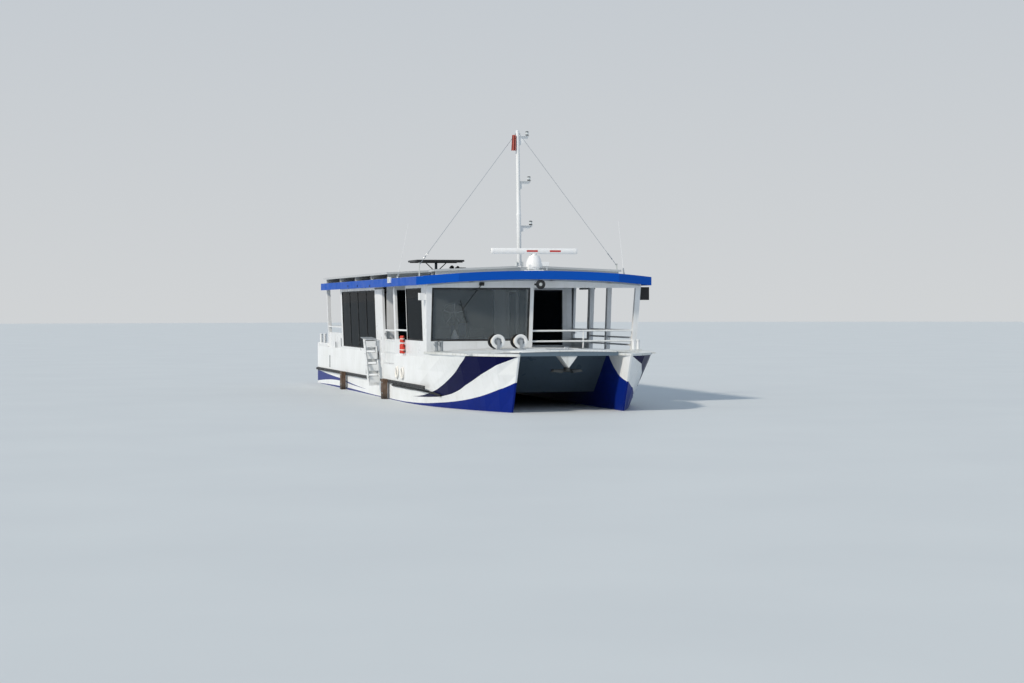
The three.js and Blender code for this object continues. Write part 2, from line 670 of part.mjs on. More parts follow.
// Each saloon door slides to port under a rail on the outer face of its wall.
const SALOON_DOOR = { half: 500, top: 2860, foot: FLOOR_Z + 8, travel: 920, railEnd: 40, railH: 45 };
const SALOON_WALL_HALF = SIDE_Y - WALL_T - 12;
const SALOON_OPENINGS = [
  { y: [-460, 460], z: [FLOOR_Z + 15, 2830] },
  { y: [-2250, -620], z: [SALOON_SILL_Z + 100, HEAD_Z] },
  { y: [620, 2250], z: [SALOON_SILL_Z + 100, HEAD_Z] },
];

function saloonDoor(face, out) {
  const near = face + out * DOOR_GAP;
  const far = near + out * DOOR_T;
  const { half, foot, top } = SALOON_DOOR;
  return box([Math.min(near, far), Math.max(near, far)], [-half, half], [foot, top]);
}

function doorRail(face, out) {
  const { half, top, travel, railEnd, railH } = SALOON_DOOR;
  const far = face + out * (DOOR_GAP + DOOR_T);
  const low = top + SEAT;
  const reach = [-half - railEnd, half + travel + railEnd];
  return box([Math.min(face, far) - 2, Math.max(face, far) + 2], reach, [low, low + railH]);
}

function saloonCrossWall([x0, x1], out) {
  const rail = doorRail(out > 0 ? x1 : x0, out);
  return join(crossWall([x0, x1], SALOON_WALL_HALF, SALOON_OPENINGS), rail);
}

// Aft deck: two roof posts, with rails forward to the saloon and from post to post across it.
const AFT_POST = { w: 110, t: 100 };
const AFT_RAILS = [1460, RAIL_Z];
const AFT_PANEL_Z = 1600; // top of the solid panel under the side rail

function aftFrame() {
  const inset = (AFT_POST.t - RAIL.t) / 2;
  const middle = STERN_POST_X + AFT_POST.w / 2;
  const parts = [];
  for (const { s } of SIDES) {
    const full = [WALL_FOOT_Z, WALL_TOP_Z];
    parts.push(wall(s, [STERN_POST_X, STERN_POST_X + AFT_POST.w], full, 0, AFT_POST.t));
    parts.push(wall(s, [SALOON_AFT_X - AFT_POST.w, SALOON_AFT_X - SEAT], full));
    parts.push(sideRail(s, [middle, SALOON_AFT_X - AFT_POST.w / 2], RAIL_Z, inset));
  }
  const reach = sideY(AFT_RAILS[0]) - AFT_POST.t / 2;
  for (const z of AFT_RAILS) {
    const x = [STERN_POST_X + inset, STERN_POST_X + inset + RAIL.t];
    parts.push(box(x, [-reach, reach], [z - RAIL.half, z + RAIL.half]));
  }
  return underRoof(join(...parts));
}

function aftSidePanel(s) {
  const inset = (AFT_POST.t - RAIL.t) / 2;
  const span = [STERN_POST_X + AFT_POST.w + SEAT, SALOON_AFT_X - AFT_POST.w - SEAT];
  return wall(s, span, [WALL_FOOT_Z, AFT_PANEL_Z], -inset, RAIL.t);
}

// Roof

function fascia() {
  const band = camberedSlab(ROOF_EDGE_Z, ROOF_EDGE_Z + FASCIA_H);
  const hole = alongZ(roofPlan(FASCIA_T), [CUT_Z[0] - OVER, CUT_Z[1] + OVER]);
  const ring = cut(alongZ(roofPlan(0), CUT_Z), hole);
  return band.intersect(ring);
}

function roofTop(y) {
  return ROOF_EDGE_Z + FASCIA_H + rise(y);
}

// The roof panel with the mast step's two cheeks and a bracket for each stay: half-length along
// the boat, the face towards the centreline, thickness, and height over the hinge axis.
const MAST_HOLDERS = [
  { half: 70, y: CHEEK_Y, t: 18, over: 60 },
  { half: 35, y: STAY_Y + SEAT, t: 16, over: 25 },
];

function roofPanel() {
  const slab = camberedSlab(CEILING_Z, ROOF_EDGE_Z + FASCIA_H);
  const panel = slab.intersect(alongZ(roofPlan(FASCIA_T + SEAT), CUT_Z));
  const holders = SIDES.flatMap(({ s }) => MAST_HOLDERS.map(({ half, y, t, over }) => box(
    [MAST_X - half, MAST_X + half], onSide(s, y, y + t), [roofTop(y) - SUNK, MAST_PIVOT_Z + over])));
  return join(panel, ...holders);
}

// Solar arrays: flat wings either side of the centreline on cross bearers that stand on the roof.
const PANEL_T = 45;
const ARRAYS = [
  {
    name: "solar_array_aft", x: [-7500, 2150], wing: [300, 2740], lift: 110,
    bearers: [-7300, -5000, -2600, -300, 1950],
  },
  {
    name: "solar_array_front", x: [5120, 5640], wing: [260, 2330], lift: 85,
    bearers: [5180, 5580],
  },
];

const BEARER = { half: 20, end: 60, into: 20 }; // a bearer stops short of the wing's edge by end

function solarArray({ x, wing, lift, bearers }) {
  const [y0, y1] = wing;
  const under = wing.map((y) => roofTop(y) + lift);
  const leaf = (s) => block((i, j, k) => [x[i], wing[j] * s, under[j] + PANEL_T * k]);
  const end = y1 - BEARER.end;
  const [z0, z1] = under.map((z) => z + BEARER.into);
  const section = [
    [-end, ROOF_EDGE_Z], [end, ROOF_EDGE_Z], [end, z1], [y0, z0], [-y0, z0], [-end, z1],
  ];
  const beams = bearers.map((bx) => alongX(section, [bx - BEARER.half, bx + BEARER.half]));
  return onRoof(join(leaf(1), leaf(-1), ...beams));
}

// One small panel stands higher than the rest, on a post with a foot.
const RAISED = { x: 3250, y: -1720, z: 3460, half: [500, 600], t: 40, postR: 35, foot: [120, 45], footH: 30 };

function raisedPanel() {
  const { x, y, z, half, t, postR, foot, footH } = RAISED;
  const around = ([halfX, halfY], heights) => box([x - halfX, x + halfX], [y - halfY, y + halfY], heights);
  const post = bar([x, y, roofTop(y) + SUNK / 2], [x, y, z + t / 2], postR);
  const base = around(foot, [roofTop(y) - 3 * SUNK, roofTop(y) + footH]);
  return onRoof(join(around(half, [z, z + t]), post, base));
}

// Rig

// Lamp arms on the mast: height, reach to port, and depth of the bracket at the mast.
const ARMS = [
  { z: 6500, reach: 270, depth: 230 },
  { z: 5400, reach: 300, depth: 200 },
  { z: 4320, reach: 330, depth: 160 },
];

function mastX(z) {
  return MAST_X - MAST_RAKE_X * (z - MAST_PIVOT_Z) / (MAST_TOP_Z - MAST_PIVOT_Z);
}

// The mast turns on a pin. Its stays end in eyes on the pin's axis, so that they fold with it.
const MAST = { footR: 55, headR: 42, below: 40, pinR: 18 };
const ARM = { half: 15, tip: 40, lampR: 42, lampH: 120, lampIn: 30 };
const STAY = { topZ: 6560, r: 7, eyeR: 12, eyeW: 26 };

function mast() {
  const foot = [MAST_X, 0, MAST_PIVOT_Z - MAST.below];
  const parts = [bar(foot, [mastX(MAST_TOP_Z), 0, MAST_TOP_Z], MAST.footR, MAST.headR, 12)];
  const onPivot = (y) => [MAST_X, y, MAST_PIVOT_Z];
  parts.push(bar(onPivot(-CHEEK_Y + SEAT), onPivot(CHEEK_Y - SEAT), MAST.pinR));
  for (const { z, reach, depth } of ARMS) {
    const x = mastX(z);
    const side = [[0, z], [0, z - depth], [reach, z - ARM.tip], [reach, z]];
    parts.push(alongX(side, [x - ARM.half, x + ARM.half]));
    const y = reach - ARM.lampIn;
    parts.push(bar([x, y, z - 5], [x, y, z - 5 + ARM.lampH], ARM.lampR, ARM.lampR, 10));
  }
  for (const { s } of SIDES) {
    const head = [mastX(STAY.topZ), 0, STAY.topZ];
    parts.push(bar(head, onPivot((STAY_Y - STAY.eyeW / 2) * s), STAY.r, STAY.r, 6));
    parts.push(bar(onPivot((STAY_Y - STAY.eyeW) * s), onPivot(STAY_Y * s), STAY.eyeR));
  }
  return join(...parts);
}

// The radar: a round pedestal on a square base, and a long scanner that turns on it.
const RADAR_TOP_Z = 3550;
const RADAR = { base: [170, 200], baseH: 60, footR: 190, topR: 130, neckR: 70, neckH: 60 };
const SCANNER = { halfX: 65, halfY: 1050, z: [40, 175] };

function radarPedestal() {
  const { base, baseH, footR, topR } = RADAR;
  const [low, high] = [roofTop(0) + SEAT, roofTop(0) + baseH];
  const plate = box([RADAR_X - base[0], RADAR_X + base[0]], [-base[1], base[1]], [low, high]);
  return join(plate, bar([RADAR_X, 0, high - 10], [RADAR_X, 0, RADAR_TOP_Z], footR, topR, 16));
}

function radarScanner() {
  const { halfX, halfY, z } = SCANNER;
  const top = RADAR_TOP_Z + RADAR.neckH;
  const neck = bar([RADAR_X, 0, RADAR_TOP_Z + SEAT], [RADAR_X, 0, top], RADAR.neckR, RADAR.neckR, 12);
  const heights = z.map((height) => RADAR_TOP_Z + height);
  return join(neck, box([RADAR_X - halfX, RADAR_X + halfX], [-halfY, halfY], heights));
}

// The searchlight hangs under the roof's front edge on a short stem.
const SEARCHLIGHT = { y: 30, z: 2865, stemR: 22, half: 90, backR: 80, faceR: 112 };

function searchlight() {
  const { y, z, stemR, half, backR, faceR } = SEARCHLIGHT;
  const stem = bar([LAMP_X, y, z + backR / 2], [LAMP_X, y, CEILING_Z + rise(y) - 1], stemR);
  return join(stem, bar([LAMP_X - half, y, z], [LAMP_X + half, y, z], backR, faceR, 16));
}

// Deck gear

// A rope reel: two flanges on a drum, turning on a spindle between two legs.
const REELS = [{ name: "rope_reel_1", y: -1160 }, { name: "rope_reel_2", y: -620 }];
const REEL = { x: [6820, 7180], z: 1545, r: 165, drumR: 80, flangeT: 30, spindleR: 18, spindleOut: 15 };
const STAND = { foot: [40, 60], footH: 25, legOut: 28, legHalf: 35, above: 30, tieX: 60 };

function reel(y) {
  const { z, r, drumR, flangeT, spindleR, spindleOut } = REEL;
  const [x0, x1] = REEL.x;
  const round = (from, to, radius, sides) => bar([from, y, z], [to, y, z], radius, radius, sides);
  return join(
    round(x0, x1, drumR, 14), round(x0, x0 + flangeT, r, 20), round(x1 - flangeT, x1, r, 20),
    round(x0 - spindleOut, x1 + spindleOut, spindleR, 8));
}

// The stands share one frame: a foot and two legs for each reel, and a tie between the feet.
function reelStands() {
  const { foot, footH, legOut, legHalf, above, tieX } = STAND;
  const [x0, x1] = REEL.x;
  const low = [PLATE_TOP + SEAT, PLATE_TOP + footH];
  const inner = REEL.spindleOut + SEAT;
  const parts = [box([x0 - foot[0], x0 - foot[0] + tieX], REELS.map(({ y }) => y), low)];
  for (const { y } of REELS) {
    parts.push(box([x0 - foot[0], x1 + foot[0]], [y - foot[1], y + foot[1]], low));
    for (const x of [[x0 - legOut, x0 - inner], [x1 + inner, x1 + legOut]]) {
      parts.push(box(x, [y - legHalf, y + legHalf], [PLATE_TOP + footH - 5, REEL.z + above]));
    }
  }
  return join(...parts);
}

// Boarding steps on the starboard side: four treads between two leaning stringers and a top plate.
// They swing out and up about a bar along their inboard top edge.
const STEPS = {
  x: 150, y: [-2985, -2672], z: 560, treads: 4, run: 190, height: 300, tread: 270, treadH: 60,
  stringerT: 25, below: 120, aft: 60, ahead: 40, plate: [20, 48],
};
const STEPS_HINGE = { x: [130, 390], y: -2650, z: 1505, r: 16, earT: 25 };

// Two ears on the wall hold the hinge bar. Their ends are round, so that the top plate clears them.
function stepBrackets() {
  const { x, y, z, r, earT } = STEPS_HINGE;
  const wallY = -sideY(z) + SUNK;
  return [[x[0] - SEAT - earT, x[0] - SEAT], [x[1] + SEAT, x[1] + SEAT + earT]].map((span) => join(
    box(span, [y, wallY], [z - r, z + r]), bar([span[0], y, z], [span[1], y, z], r, r, 16)));
}

function boardingSteps() {
  const { x, y, z, treads, run, height, tread, treadH, stringerT, below, aft, ahead, plate } = STEPS;
  const lean = run * (treads - 1);
  const top = z + height * (treads - 1);
  const plateZ = plate.map((rise) => top + rise);
  const parts = [box([x - aft, x + tread], y, plateZ)];
  for (let i = 0; i < treads; i += 1) {
    const back = x + lean - run * i;
    const step = z + height * i;
    parts.push(box([back, back + tread], y, [step - treadH, step]));
  }
  const side = [
    [x + lean - aft, z - below], [x + lean + tread + ahead, z - below],
    [x + tread + ahead, plateZ[1]], [x - aft, plateZ[1]],
  ];
  for (const span of [[y[0], y[0] + stringerT], [y[1] - stringerT, y[1]]]) parts.push(alongY(side, span));
  const hinge = STEPS_HINGE;
  const [h0, h1] = hinge.x;
  parts.push(bar([h0, hinge.y, hinge.z], [h1, hinge.y, hinge.z], hinge.r));
  const tongueZ = [plateZ[0] + 2, plateZ[1] - 2];
  parts.push(box([h0 + stringerT, h1 - stringerT], [y[1] - 10, hinge.y], tongueZ));
  return join(...parts);
}

// Inside

// The console: its side, from the foot round to the aft edge of the sloping top.
const CONSOLE_Y = [-2380, -450];
const CONSOLE_SIDE = [
  { x: 5150, z: FLOOR_Z + SEAT }, { x: 5700, z: FLOOR_Z + SEAT }, { x: 5700, z: 1560 },
  { x: 5450, z: 1600 }, { x: 5150, z: 1400 },
];

function helmConsole() {
  return alongY(CONSOLE_SIDE.map(({ x, z }) => [x, z]), CONSOLE_Y);
}

const HELM_SEAT = { x: 4680, y: -1450, footR: 170, footH: 40, postR: 45 };
const SEAT_PAD = { x: [-230, 230], half: 240, z: [1350, 1450] };
const SEAT_BACK = { x: [-260, -160], half: 230, z: [1400, 2000] };

function helmSeat() {
  const { x, y, footR, footH, postR } = HELM_SEAT;
  const low = FLOOR_Z + SEAT;
  const foot = bar([x, y, low], [x, y, FLOOR_Z + footH], footR, footR, 12);
  const post = bar([x, y, FLOOR_Z + footH / 2], [x, y, SEAT_PAD.z[0] + SUNK], postR);
  const pads = [SEAT_PAD, SEAT_BACK].map(({ x: [aft, fore], half, z }) => box(
    [x + aft, x + fore], [y - half, y + half], z));
  return join(foot, post, ...pads);
}

// A bench along each side of the saloon: the seat and back in one, on a plinth.
const BENCH_SECTION = [
  { y: 1960, z: 1230 }, { y: 1960, z: 1330 }, { y: 2340, z: 1330 },
  { y: 2400, z: 1800 }, { y: 2470, z: 1800 }, { y: 2440, z: 1230 },
];
const BENCH_X = [-4850, 500];
const PLINTH = { end: 100, y: [2060, 2400], top: 1260 };

function bench(s) {
  const cushion = alongX(BENCH_SECTION.map(({ y, z }) => [y * s, z]), BENCH_X);
  const { end, y, top } = PLINTH;
  const plinth = box([BENCH_X[0] + end, BENCH_X[1] - end], onSide(s, ...y), [FLOOR_Z + SEAT, top]);
  return join(cushion, plinth);
}

// Under water

const BLADES = { count: 4, t: 16, w: 130, root: 30, turn: 0.9 };

function propeller(s) {
  const { count, t, w, root, turn } = BLADES;
  const [y, z] = [SHAFT_Y * s, SHAFT_Z];
  const hub = bar([PROP_X - PROP_HUB, y, z], [PROP_X + PROP_HUB - SEAT, y, z], 42, 55, 12);
  const blades = [];
  for (let i = 0; i < count; i += 1) {
    const g = new THREE.BoxGeometry(t, w, PROP_R - root);
    g.translate(0, 0, (PROP_R + root) / 2);
    g.rotateZ(s * turn);
    g.rotateX((i * 2 * Math.PI) / count);
    g.translate(PROP_X, y, z);
    blades.push(solid(g));
  }
  return join(hub, ...blades);
}

// The blade is a thick-nosed plate hung on a stock that ends under its pad on the hull.
const RUDDER_FACE = [
  { x: 170, half: 0 }, { x: 120, half: 32 }, { x: 0, half: 40 }, { x: -200, half: 22 },
  { x: -330, half: 4 },
];
const RUDDER = { footZ: -840, gap: 60, stockR: 34, stockIn: 205 };

function rudder(s) {
  const y = SHAFT_Y * s;
  const side = (sign) => RUDDER_FACE.map(({ x, half }) => [RUDDER_X + x, y + sign * half]);
  const foil = [...side(1), ...side(-1).slice(1).reverse()];
  const top = RUDDER_TOP_Z - RUDDER.gap;
  const blade = alongZ(foil, [RUDDER.footZ, top]);
  const stockLow = [RUDDER_X, y, top - RUDDER.stockIn];
  const stock = bar(stockLow, [RUDDER_X, y, RUDDER_TOP_Z - SEAT], RUDDER.stockR, RUDDER.stockR, 12);
  return join(blade, stock);
}

// Gates: a tube frame with four bars and a sheet over the lower part, hung at its forward end on a
// full-length hinge tube.
const GATE_Y = SIDE_Y - 40;
const GATE_HINGE_X = GATE_FRONT_X - GATE_HINGE_R - SEAT;
const GATE_TUBE = 40;
const GATE_BARS = [FLOOR_Z + 30, 1180, 1480, RAIL_Z - GATE_TUBE];
const GATE_SHEET_T = 12;

function gate(s) {
  const [x0, x1] = [SALOON_FRONT_X + 8, GATE_HINGE_X];
  const z = [GATE_BARS[0], RAIL_Z];
  const span = onSide(s, GATE_Y - GATE_TUBE / 2, GATE_Y + GATE_TUBE / 2);
  const bars = GATE_BARS.map((low) => box([x0, x1], span, [low, low + GATE_TUBE]));
  const end = box([x0, x0 + GATE_TUBE], span, z);
  const across = onSide(s, GATE_Y - GATE_SHEET_T / 2, GATE_Y + GATE_SHEET_T / 2);
  const sheet = box([x0 + SUNK, x1], across, [GATE_BARS[0] + SUNK, GATE_BARS[2] + SUNK]);
  const y = GATE_Y * s;
  const hinge = bar([x1, y, z[0]], [x1, y, z[1]], GATE_HINGE_R, GATE_HINGE_R, 12);
  return join(...bars, end, sheet, hinge);
}

// Assembly

for (const { tag, s } of SIDES) {
  place(`hull_${tag}`, hull(s), "hull");
  place(`bow_${tag}`, bow(s), "hull");
  place(`stern_bollard_${tag}`, bollard(STERN_BOLLARD, s, FLOOR_Z + SEAT), "galvanised");
  place(`strake_${tag}`, strake(s), "black");
  TIMBER.xs.forEach((x, i) => place(`fender_timber_${tag}_${i + 1}`, timber(x, s), "timber"));
  place(`saloon_side_${tag}`, saloonSide(s), "white");
  place(`saloon_window_${tag}`, sidePane(s, SALOON_WINDOW), "glass");
  place(`bench_${tag}`, bench(s), "seat");
  place(`aft_side_panel_${tag}`, aftSidePanel(s), "white");
  place(`side_gate_${tag}`, gate(s), "tube");
  place(`propeller_${tag}`, propeller(s), "bronze");
  place(`rudder_${tag}`, rudder(s), "underwater");
}
place("stern_bulwark", sternBulwark(), "hull");
place("bridge_deck", bridgeDeck(), "grey");
place("bow_panel", bowPanel(), "grey");
place("foredeck", foredeck(), "deck");
place("anchor", anchor(), "galvanised");
place("front_frame", frontFrame(), "white");
place("windscreen", pane(WINDSCREEN, [FRONT_X - 60, FRONT_X - 46]), "glass");
place("front_rail", frontRail(), "tube");
place("wheelhouse_side", wheelhouseSide(), "white");
place("half_wall", halfWall(), "white");
place("wheelhouse_side_window", sidePane(-1, SIDE_WINDOW), "glass");
place("wheelhouse_inner_walls", innerWalls(), "white");
place("wheelhouse_door", wheelhouseDoor(), "white");
place("bay_side_port", baySide(), "white");
place("saloon_front_wall", saloonCrossWall([SALOON_FRONT_X - WALL_T, SALOON_FRONT_X], 1), "white");
place("saloon_aft_wall", saloonCrossWall([SALOON_AFT_X, SALOON_AFT_X + WALL_T], -1), "white");
place("saloon_front_door", saloonDoor(SALOON_FRONT_X, 1), "glass");
place("saloon_aft_door", saloonDoor(SALOON_AFT_X, -1), "glass");
place("aft_frame", aftFrame(), "white");
place("roof_panel", roofPanel(), "white");
place("roof_fascia", fascia(), "blue");
ARRAYS.forEach((array) => place(array.name, solarArray(array), "solar"));
place("raised_solar_panel", raisedPanel(), "solar");
place("mast", mast(), "white");
place("radar_pedestal", radarPedestal(), "white");
place("radar_scanner", radarScanner(), "white");
place("searchlight", searchlight(), "steel");
place("reel_stands", reelStands(), "steel");
REELS.forEach(({ name, y }) => place(name, reel(y), "white"));
place("boarding_steps", boardingSteps(), "white");
place("helm_console", helmConsole(), "grey");
place("helm_seat", helmSeat(), "seat");

export default ferry;
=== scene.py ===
# %% [markdown]
# # Dressing a small solar ferry
# The boat is a decked catamaran with a long house under one blue-edged roof. Its solid frame is
# loaded first and stays untouched. Everything after that is paint, glass, trim and deck gear laid
# over it. All lengths are metres, +X is forward, +Y is port and z = 0 is the waterline.

# %% Load the frame
from math import atan2, cos, pi, radians, sin, tau

import bmesh
import bpy
from mathutils import Matrix, Vector


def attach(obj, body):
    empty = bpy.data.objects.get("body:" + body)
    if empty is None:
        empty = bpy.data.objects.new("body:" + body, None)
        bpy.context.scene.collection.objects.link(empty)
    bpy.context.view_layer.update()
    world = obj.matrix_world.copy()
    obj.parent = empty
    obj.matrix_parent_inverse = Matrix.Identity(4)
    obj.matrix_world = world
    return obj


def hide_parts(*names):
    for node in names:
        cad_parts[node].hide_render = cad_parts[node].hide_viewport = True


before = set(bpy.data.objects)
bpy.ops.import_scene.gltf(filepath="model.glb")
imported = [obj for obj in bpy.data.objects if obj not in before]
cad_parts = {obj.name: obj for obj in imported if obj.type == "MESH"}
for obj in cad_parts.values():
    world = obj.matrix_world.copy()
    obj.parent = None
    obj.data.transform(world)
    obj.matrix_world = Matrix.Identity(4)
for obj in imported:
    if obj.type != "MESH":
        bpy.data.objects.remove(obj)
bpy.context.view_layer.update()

MM = 0.001
SIDES = {"starboard": -1, "port": 1}

# %% [markdown]
# ## The viewpoint
# The picture is a long-lens shot from another boat: nearly level, a little to starboard of dead
# ahead. A camera is a place, a heading, a dip and a slight roll, so those four are named here and
# turned into a rotation. That is easier to correct than a matrix of nine numbers.

# %% Camera
EYE = Vector((49.336, -12.2755, 2.3139))
HEADING = 0.2650  # radians off straight aft, towards port
DIP = radians(1.010)
ROLL = radians(-0.114)
LENS, FILM = 66.8, 36  # mm, and the film's width in mm
FAR = 2000  # nothing beyond this is drawn


def placed(name, data):
    """A new object in the scene."""
    made = bpy.data.objects.new(name, data)
    bpy.context.scene.collection.objects.link(made)
    return made


def add_camera():
    right = Vector((sin(HEADING), cos(HEADING), 0))
    ahead = Vector((-right.y * cos(DIP), right.x * cos(DIP), -sin(DIP)))
    up = right.cross(ahead)
    rolled_right = right * cos(ROLL) + up * sin(ROLL)
    rolled_up = up * cos(ROLL) - right * sin(ROLL)
    lens = bpy.data.cameras.new("camera")
    lens.lens = LENS
    lens.sensor_width = FILM
    lens.clip_end = FAR
    camera = placed("camera", lens)
    turn = Matrix((rolled_right, rolled_up, -ahead)).transposed().to_4x4()
    camera.matrix_world = Matrix.Translation(EYE) @ turn
    bpy.context.scene.camera = camera


add_camera()
print("camera at", [round(c, 2) for c in EYE])

# %% [markdown]
# ## Nodes and colour
# A material is a small tree of nodes. One helper adds a node, sets its options, feeds its inputs
# with plain values or with other nodes' outputs, and hands back an output to pass on. Colours are
# picked as sRGB hex, the way a screen shows them, and one function turns them into the linear
# values that a renderer works in.

# %% Material helpers
def linear(colour, alpha=1.0):
    channels = [int(colour[i:i + 2], 16) / 255 for i in (1, 3, 5)]
    return (*[c / 12.92 if c <= 0.04045 else ((c + 0.055) / 1.055) ** 2.4 for c in channels], alpha)


def add(tree, kind, inputs=None, out=0, **settings):
    """Adds a shader node, and gives back the output that is asked for."""
    node = tree.nodes.new("ShaderNode" + kind)
    for name, value in settings.items():
        setattr(node, name, value)
    for name, value in (inputs or {}).items():
        if isinstance(value, bpy.types.NodeSocket):
            tree.links.new(value, node.inputs[name])
        elif isinstance(value, str):
            node.inputs[name].default_value = linear(value)
        else:
            node.inputs[name].default_value = value
    return node.outputs[out]


def start_material(name, colour, roughness, metallic=0.0, **values):
    """A new material with its shader's constant numbers set on its own sockets."""
    made = bpy.data.materials.new(name)
    made.use_nodes = True
    tree = made.node_tree
    shader = tree.nodes["Principled BSDF"]
    shader.inputs["Base Color"].default_value = linear(colour)
    shader.inputs["Roughness"].default_value = roughness
    shader.inputs["Metallic"].default_value = metallic
    for key, value in values.items():
        shader.inputs[key.replace("_", " ")].default_value = value
    return made, tree, shader


def patches(tree, size, stretch=(1, 1, 1), detail=3.0):
    """Slow noise from 0 to 1 whose features are about `size` metres, stretched along each axis."""
    place = add(tree, "TexCoord", out=3)
    place = add(tree, "Mapping", {"Vector": place, "Scale": stretch})
    return add(tree, "TexNoise", {"Vector": place, "Scale": 1 / size, "Detail": detail})


RGBA = {"out": 2, "data_type": "RGBA"}  # how a mix of two colours is asked for


def looks_up(tree):
    """How far a face looks up, from -1 to 1."""
    return add(tree, "SeparateXYZ", {0: add(tree, "NewGeometry", out=1)}, out=2)


def coloured(tree, shader, colour):
    tree.links.new(colour, shader.inputs["Base Color"])


def rough_between(tree, shader, pattern, low, high):
    level = add(tree, "MapRange", {0: pattern, 1: 0.3, 2: 0.7, 3: low, 4: high})
    tree.links.new(level, shader.inputs["Roughness"])


def relief(tree, shader, height, depth):
    """Raises the surface by `depth` metres where the pattern is 1."""
    normal = add(tree, "Bump", {"Height": height, "Distance": depth, "Strength": 1.0})
    tree.links.new(normal, shader.inputs["Normal"])


# %% [markdown]
# ## Weathered paint
# Every painted plate on a working boat is a sprayed gloss enamel: smooth, faintly rippled by the
# plate under it, and dulled a little where rain and hands reach it. One function lays down that
# common ground, slow patches and faint upright run-off streaks, and each paint starts from it.

# %% Paint ground
RIPPLE = 0.45  # plate ripples are about this long
RIPPLE_DEPTH = 0.8 * MM
STREAK = (6, 6, 0.5)  # run-off streaks are thin and tall
GRIME = "#dcdcd6"  # what a streak multiplies the paint by


def weathered(tree, shader, colour, gloss, dirt=0.3):
    dull = add(tree, "MapRange", {0: patches(tree, 0.7), 1: 0.4, 2: 0.7, 3: 0.0, 4: dirt})
    streaks = add(tree, "MapRange", {0: patches(tree, 0.5, STREAK), 1: 0.52, 2: 0.75, 3: 0.0, 4: dirt})
    amount = add(tree, "Math", {0: dull, 1: streaks}, operation="ADD", use_clamp=True)
    soiled = add(tree, "Mix", {0: amount, 6: colour, 7: GRIME}, **RGBA, blend_type="MULTIPLY")
    coloured(tree, shader, soiled)
    rough_between(tree, shader, patches(tree, 0.35), gloss - 0.05, gloss + 0.12)
    relief(tree, shader, patches(tree, RIPPLE, detail=1.0), RIPPLE_DEPTH)


def enamel(name, colour, gloss, dirt=0.3, **values):
    made, tree, shader = start_material(name, colour, gloss, **values)
    weathered(tree, shader, colour, gloss, dirt)
    return made


# To the eye: sprayed enamel is smooth and bright, rolled enamel matt and streaky, powder coat soft
# and even, epoxy half-glossy, weathered iron dull and patchy, and antifouling chalky and dead matt.
HOUSE_WHITE = enamel("sprayed_white_enamel", "#e8ebee", 0.30, Coat_Weight=0.15)
ROOF_WHITE = enamel("rolled_roof_enamel", "#d3d8dc", 0.50, dirt=0.6)
# Painted shade: white house paint as it looks in the shadow under the roof's front edge.
HEADER_SHADE_GREY = enamel("grey_enamel_painted_shade", "#b3bcc6", 0.35)
FASCIA_BLUE = enamel("sprayed_blue_enamel", "#0750b4", 0.42, dirt=0.1, Specular_IOR_Level=0.10)
RAIL_WHITE = enamel("powder_coated_tube", "#e3e7ea", 0.38, dirt=0.35)
TUNNEL_GREY = enamel("epoxy_tunnel_paint", "#5d6f7e", 0.30, dirt=0.3)
IRON = enamel("dark_weathered_iron", "#33383b", 0.6, dirt=0.4)
ANTIFOULING = enamel("rolled_antifouling", "#1c2540", 0.75, dirt=0.4)
RED_ENAMEL = enamel("sprayed_red_enamel", "#c02a1c", 0.3, dirt=0.2)
BLACK_COAT = enamel("black_powder_coat", "#16181b", 0.45, dirt=0.2)
print("paints", len(bpy.data.materials))

# %% [markdown]
# ## The hull's colours
# The hulls are white alkyd enamel with a navy sweep rising to each stem, a blue band at the
# waterline that climbs to the bow, a blue wedge along the quarter, and dark antifouling below.
# A sign-maker masks these with long battens, so each edge is one fair curve. Here a float curve
# node plays the batten: it takes a height and gives how far along the boat the edge lies. The
# colour then needs no image and stays sharp at any distance.

# %% Hull enamel
BATTEN_Z = 1.25  # heights are given as a share of this
BATTEN_X = (-10.0, 10.0)  # places along the boat as a share of this span
WHITE, NAVY, BLUE, DEEP, FLOOR_GREY = "#e9edf0", "#080d40", "#0c257c", "#141c34", "#868d92"
INNER_FACE = 1.285  # the two hulls' inner faces lie nearer the centreline than this
BOOT_Z = -0.06  # antifouling starts just under the waterline
SWEEP_Z, WEDGE_X = 0.19, -1.3  # the navy sweep's lowest point and the blue wedge's forward tip
SIDE_DECK_Z = (0.86, 0.9)  # a floor between these heights is grey
FLOOR_LIKE = 0.7  # a face that looks up more than this is a floor

# Edges as (x, z) in metres, fair between a few points
SWEEP_AFT = [(4.4, SWEEP_Z), (5.05, 0.23), (5.9, 0.35), (6.54, 0.51), (7.15, 0.72), (7.91, 1.08),
             (8.2, 1.25)]
SWEEP_FORE = [(4.4, SWEEP_Z), (6.01, 0.24), (6.69, 0.31), (7.22, 0.42), (7.71, 0.58), (8.71, 0.95),
              (9.45, 1.25)]
INNER_EDGE = [(9.2, 0.67), (8.79, 0.75), (8.42, 0.89), (8.05, 1.10), (7.87, 1.25)]
BAND_TOP = [(-9.45, 0.0), (-5.2, 0.05), (0.5, 0.02), (4.94, 0.05), (6.13, 0.11), (7.09, 0.19),
            (7.91, 0.31), (8.52, 0.45), (9.2, 0.68)]
WEDGE_TOP = [(-9.45, 0.41), (-7.05, 0.32), (-5.17, 0.27), (-3.52, 0.19), (-1.3, 0.12)]
WEDGE_LOW = [(-9.45, 0.07), (-5.17, 0.21), (-3.57, 0.16), (-1.3, 0.12)]


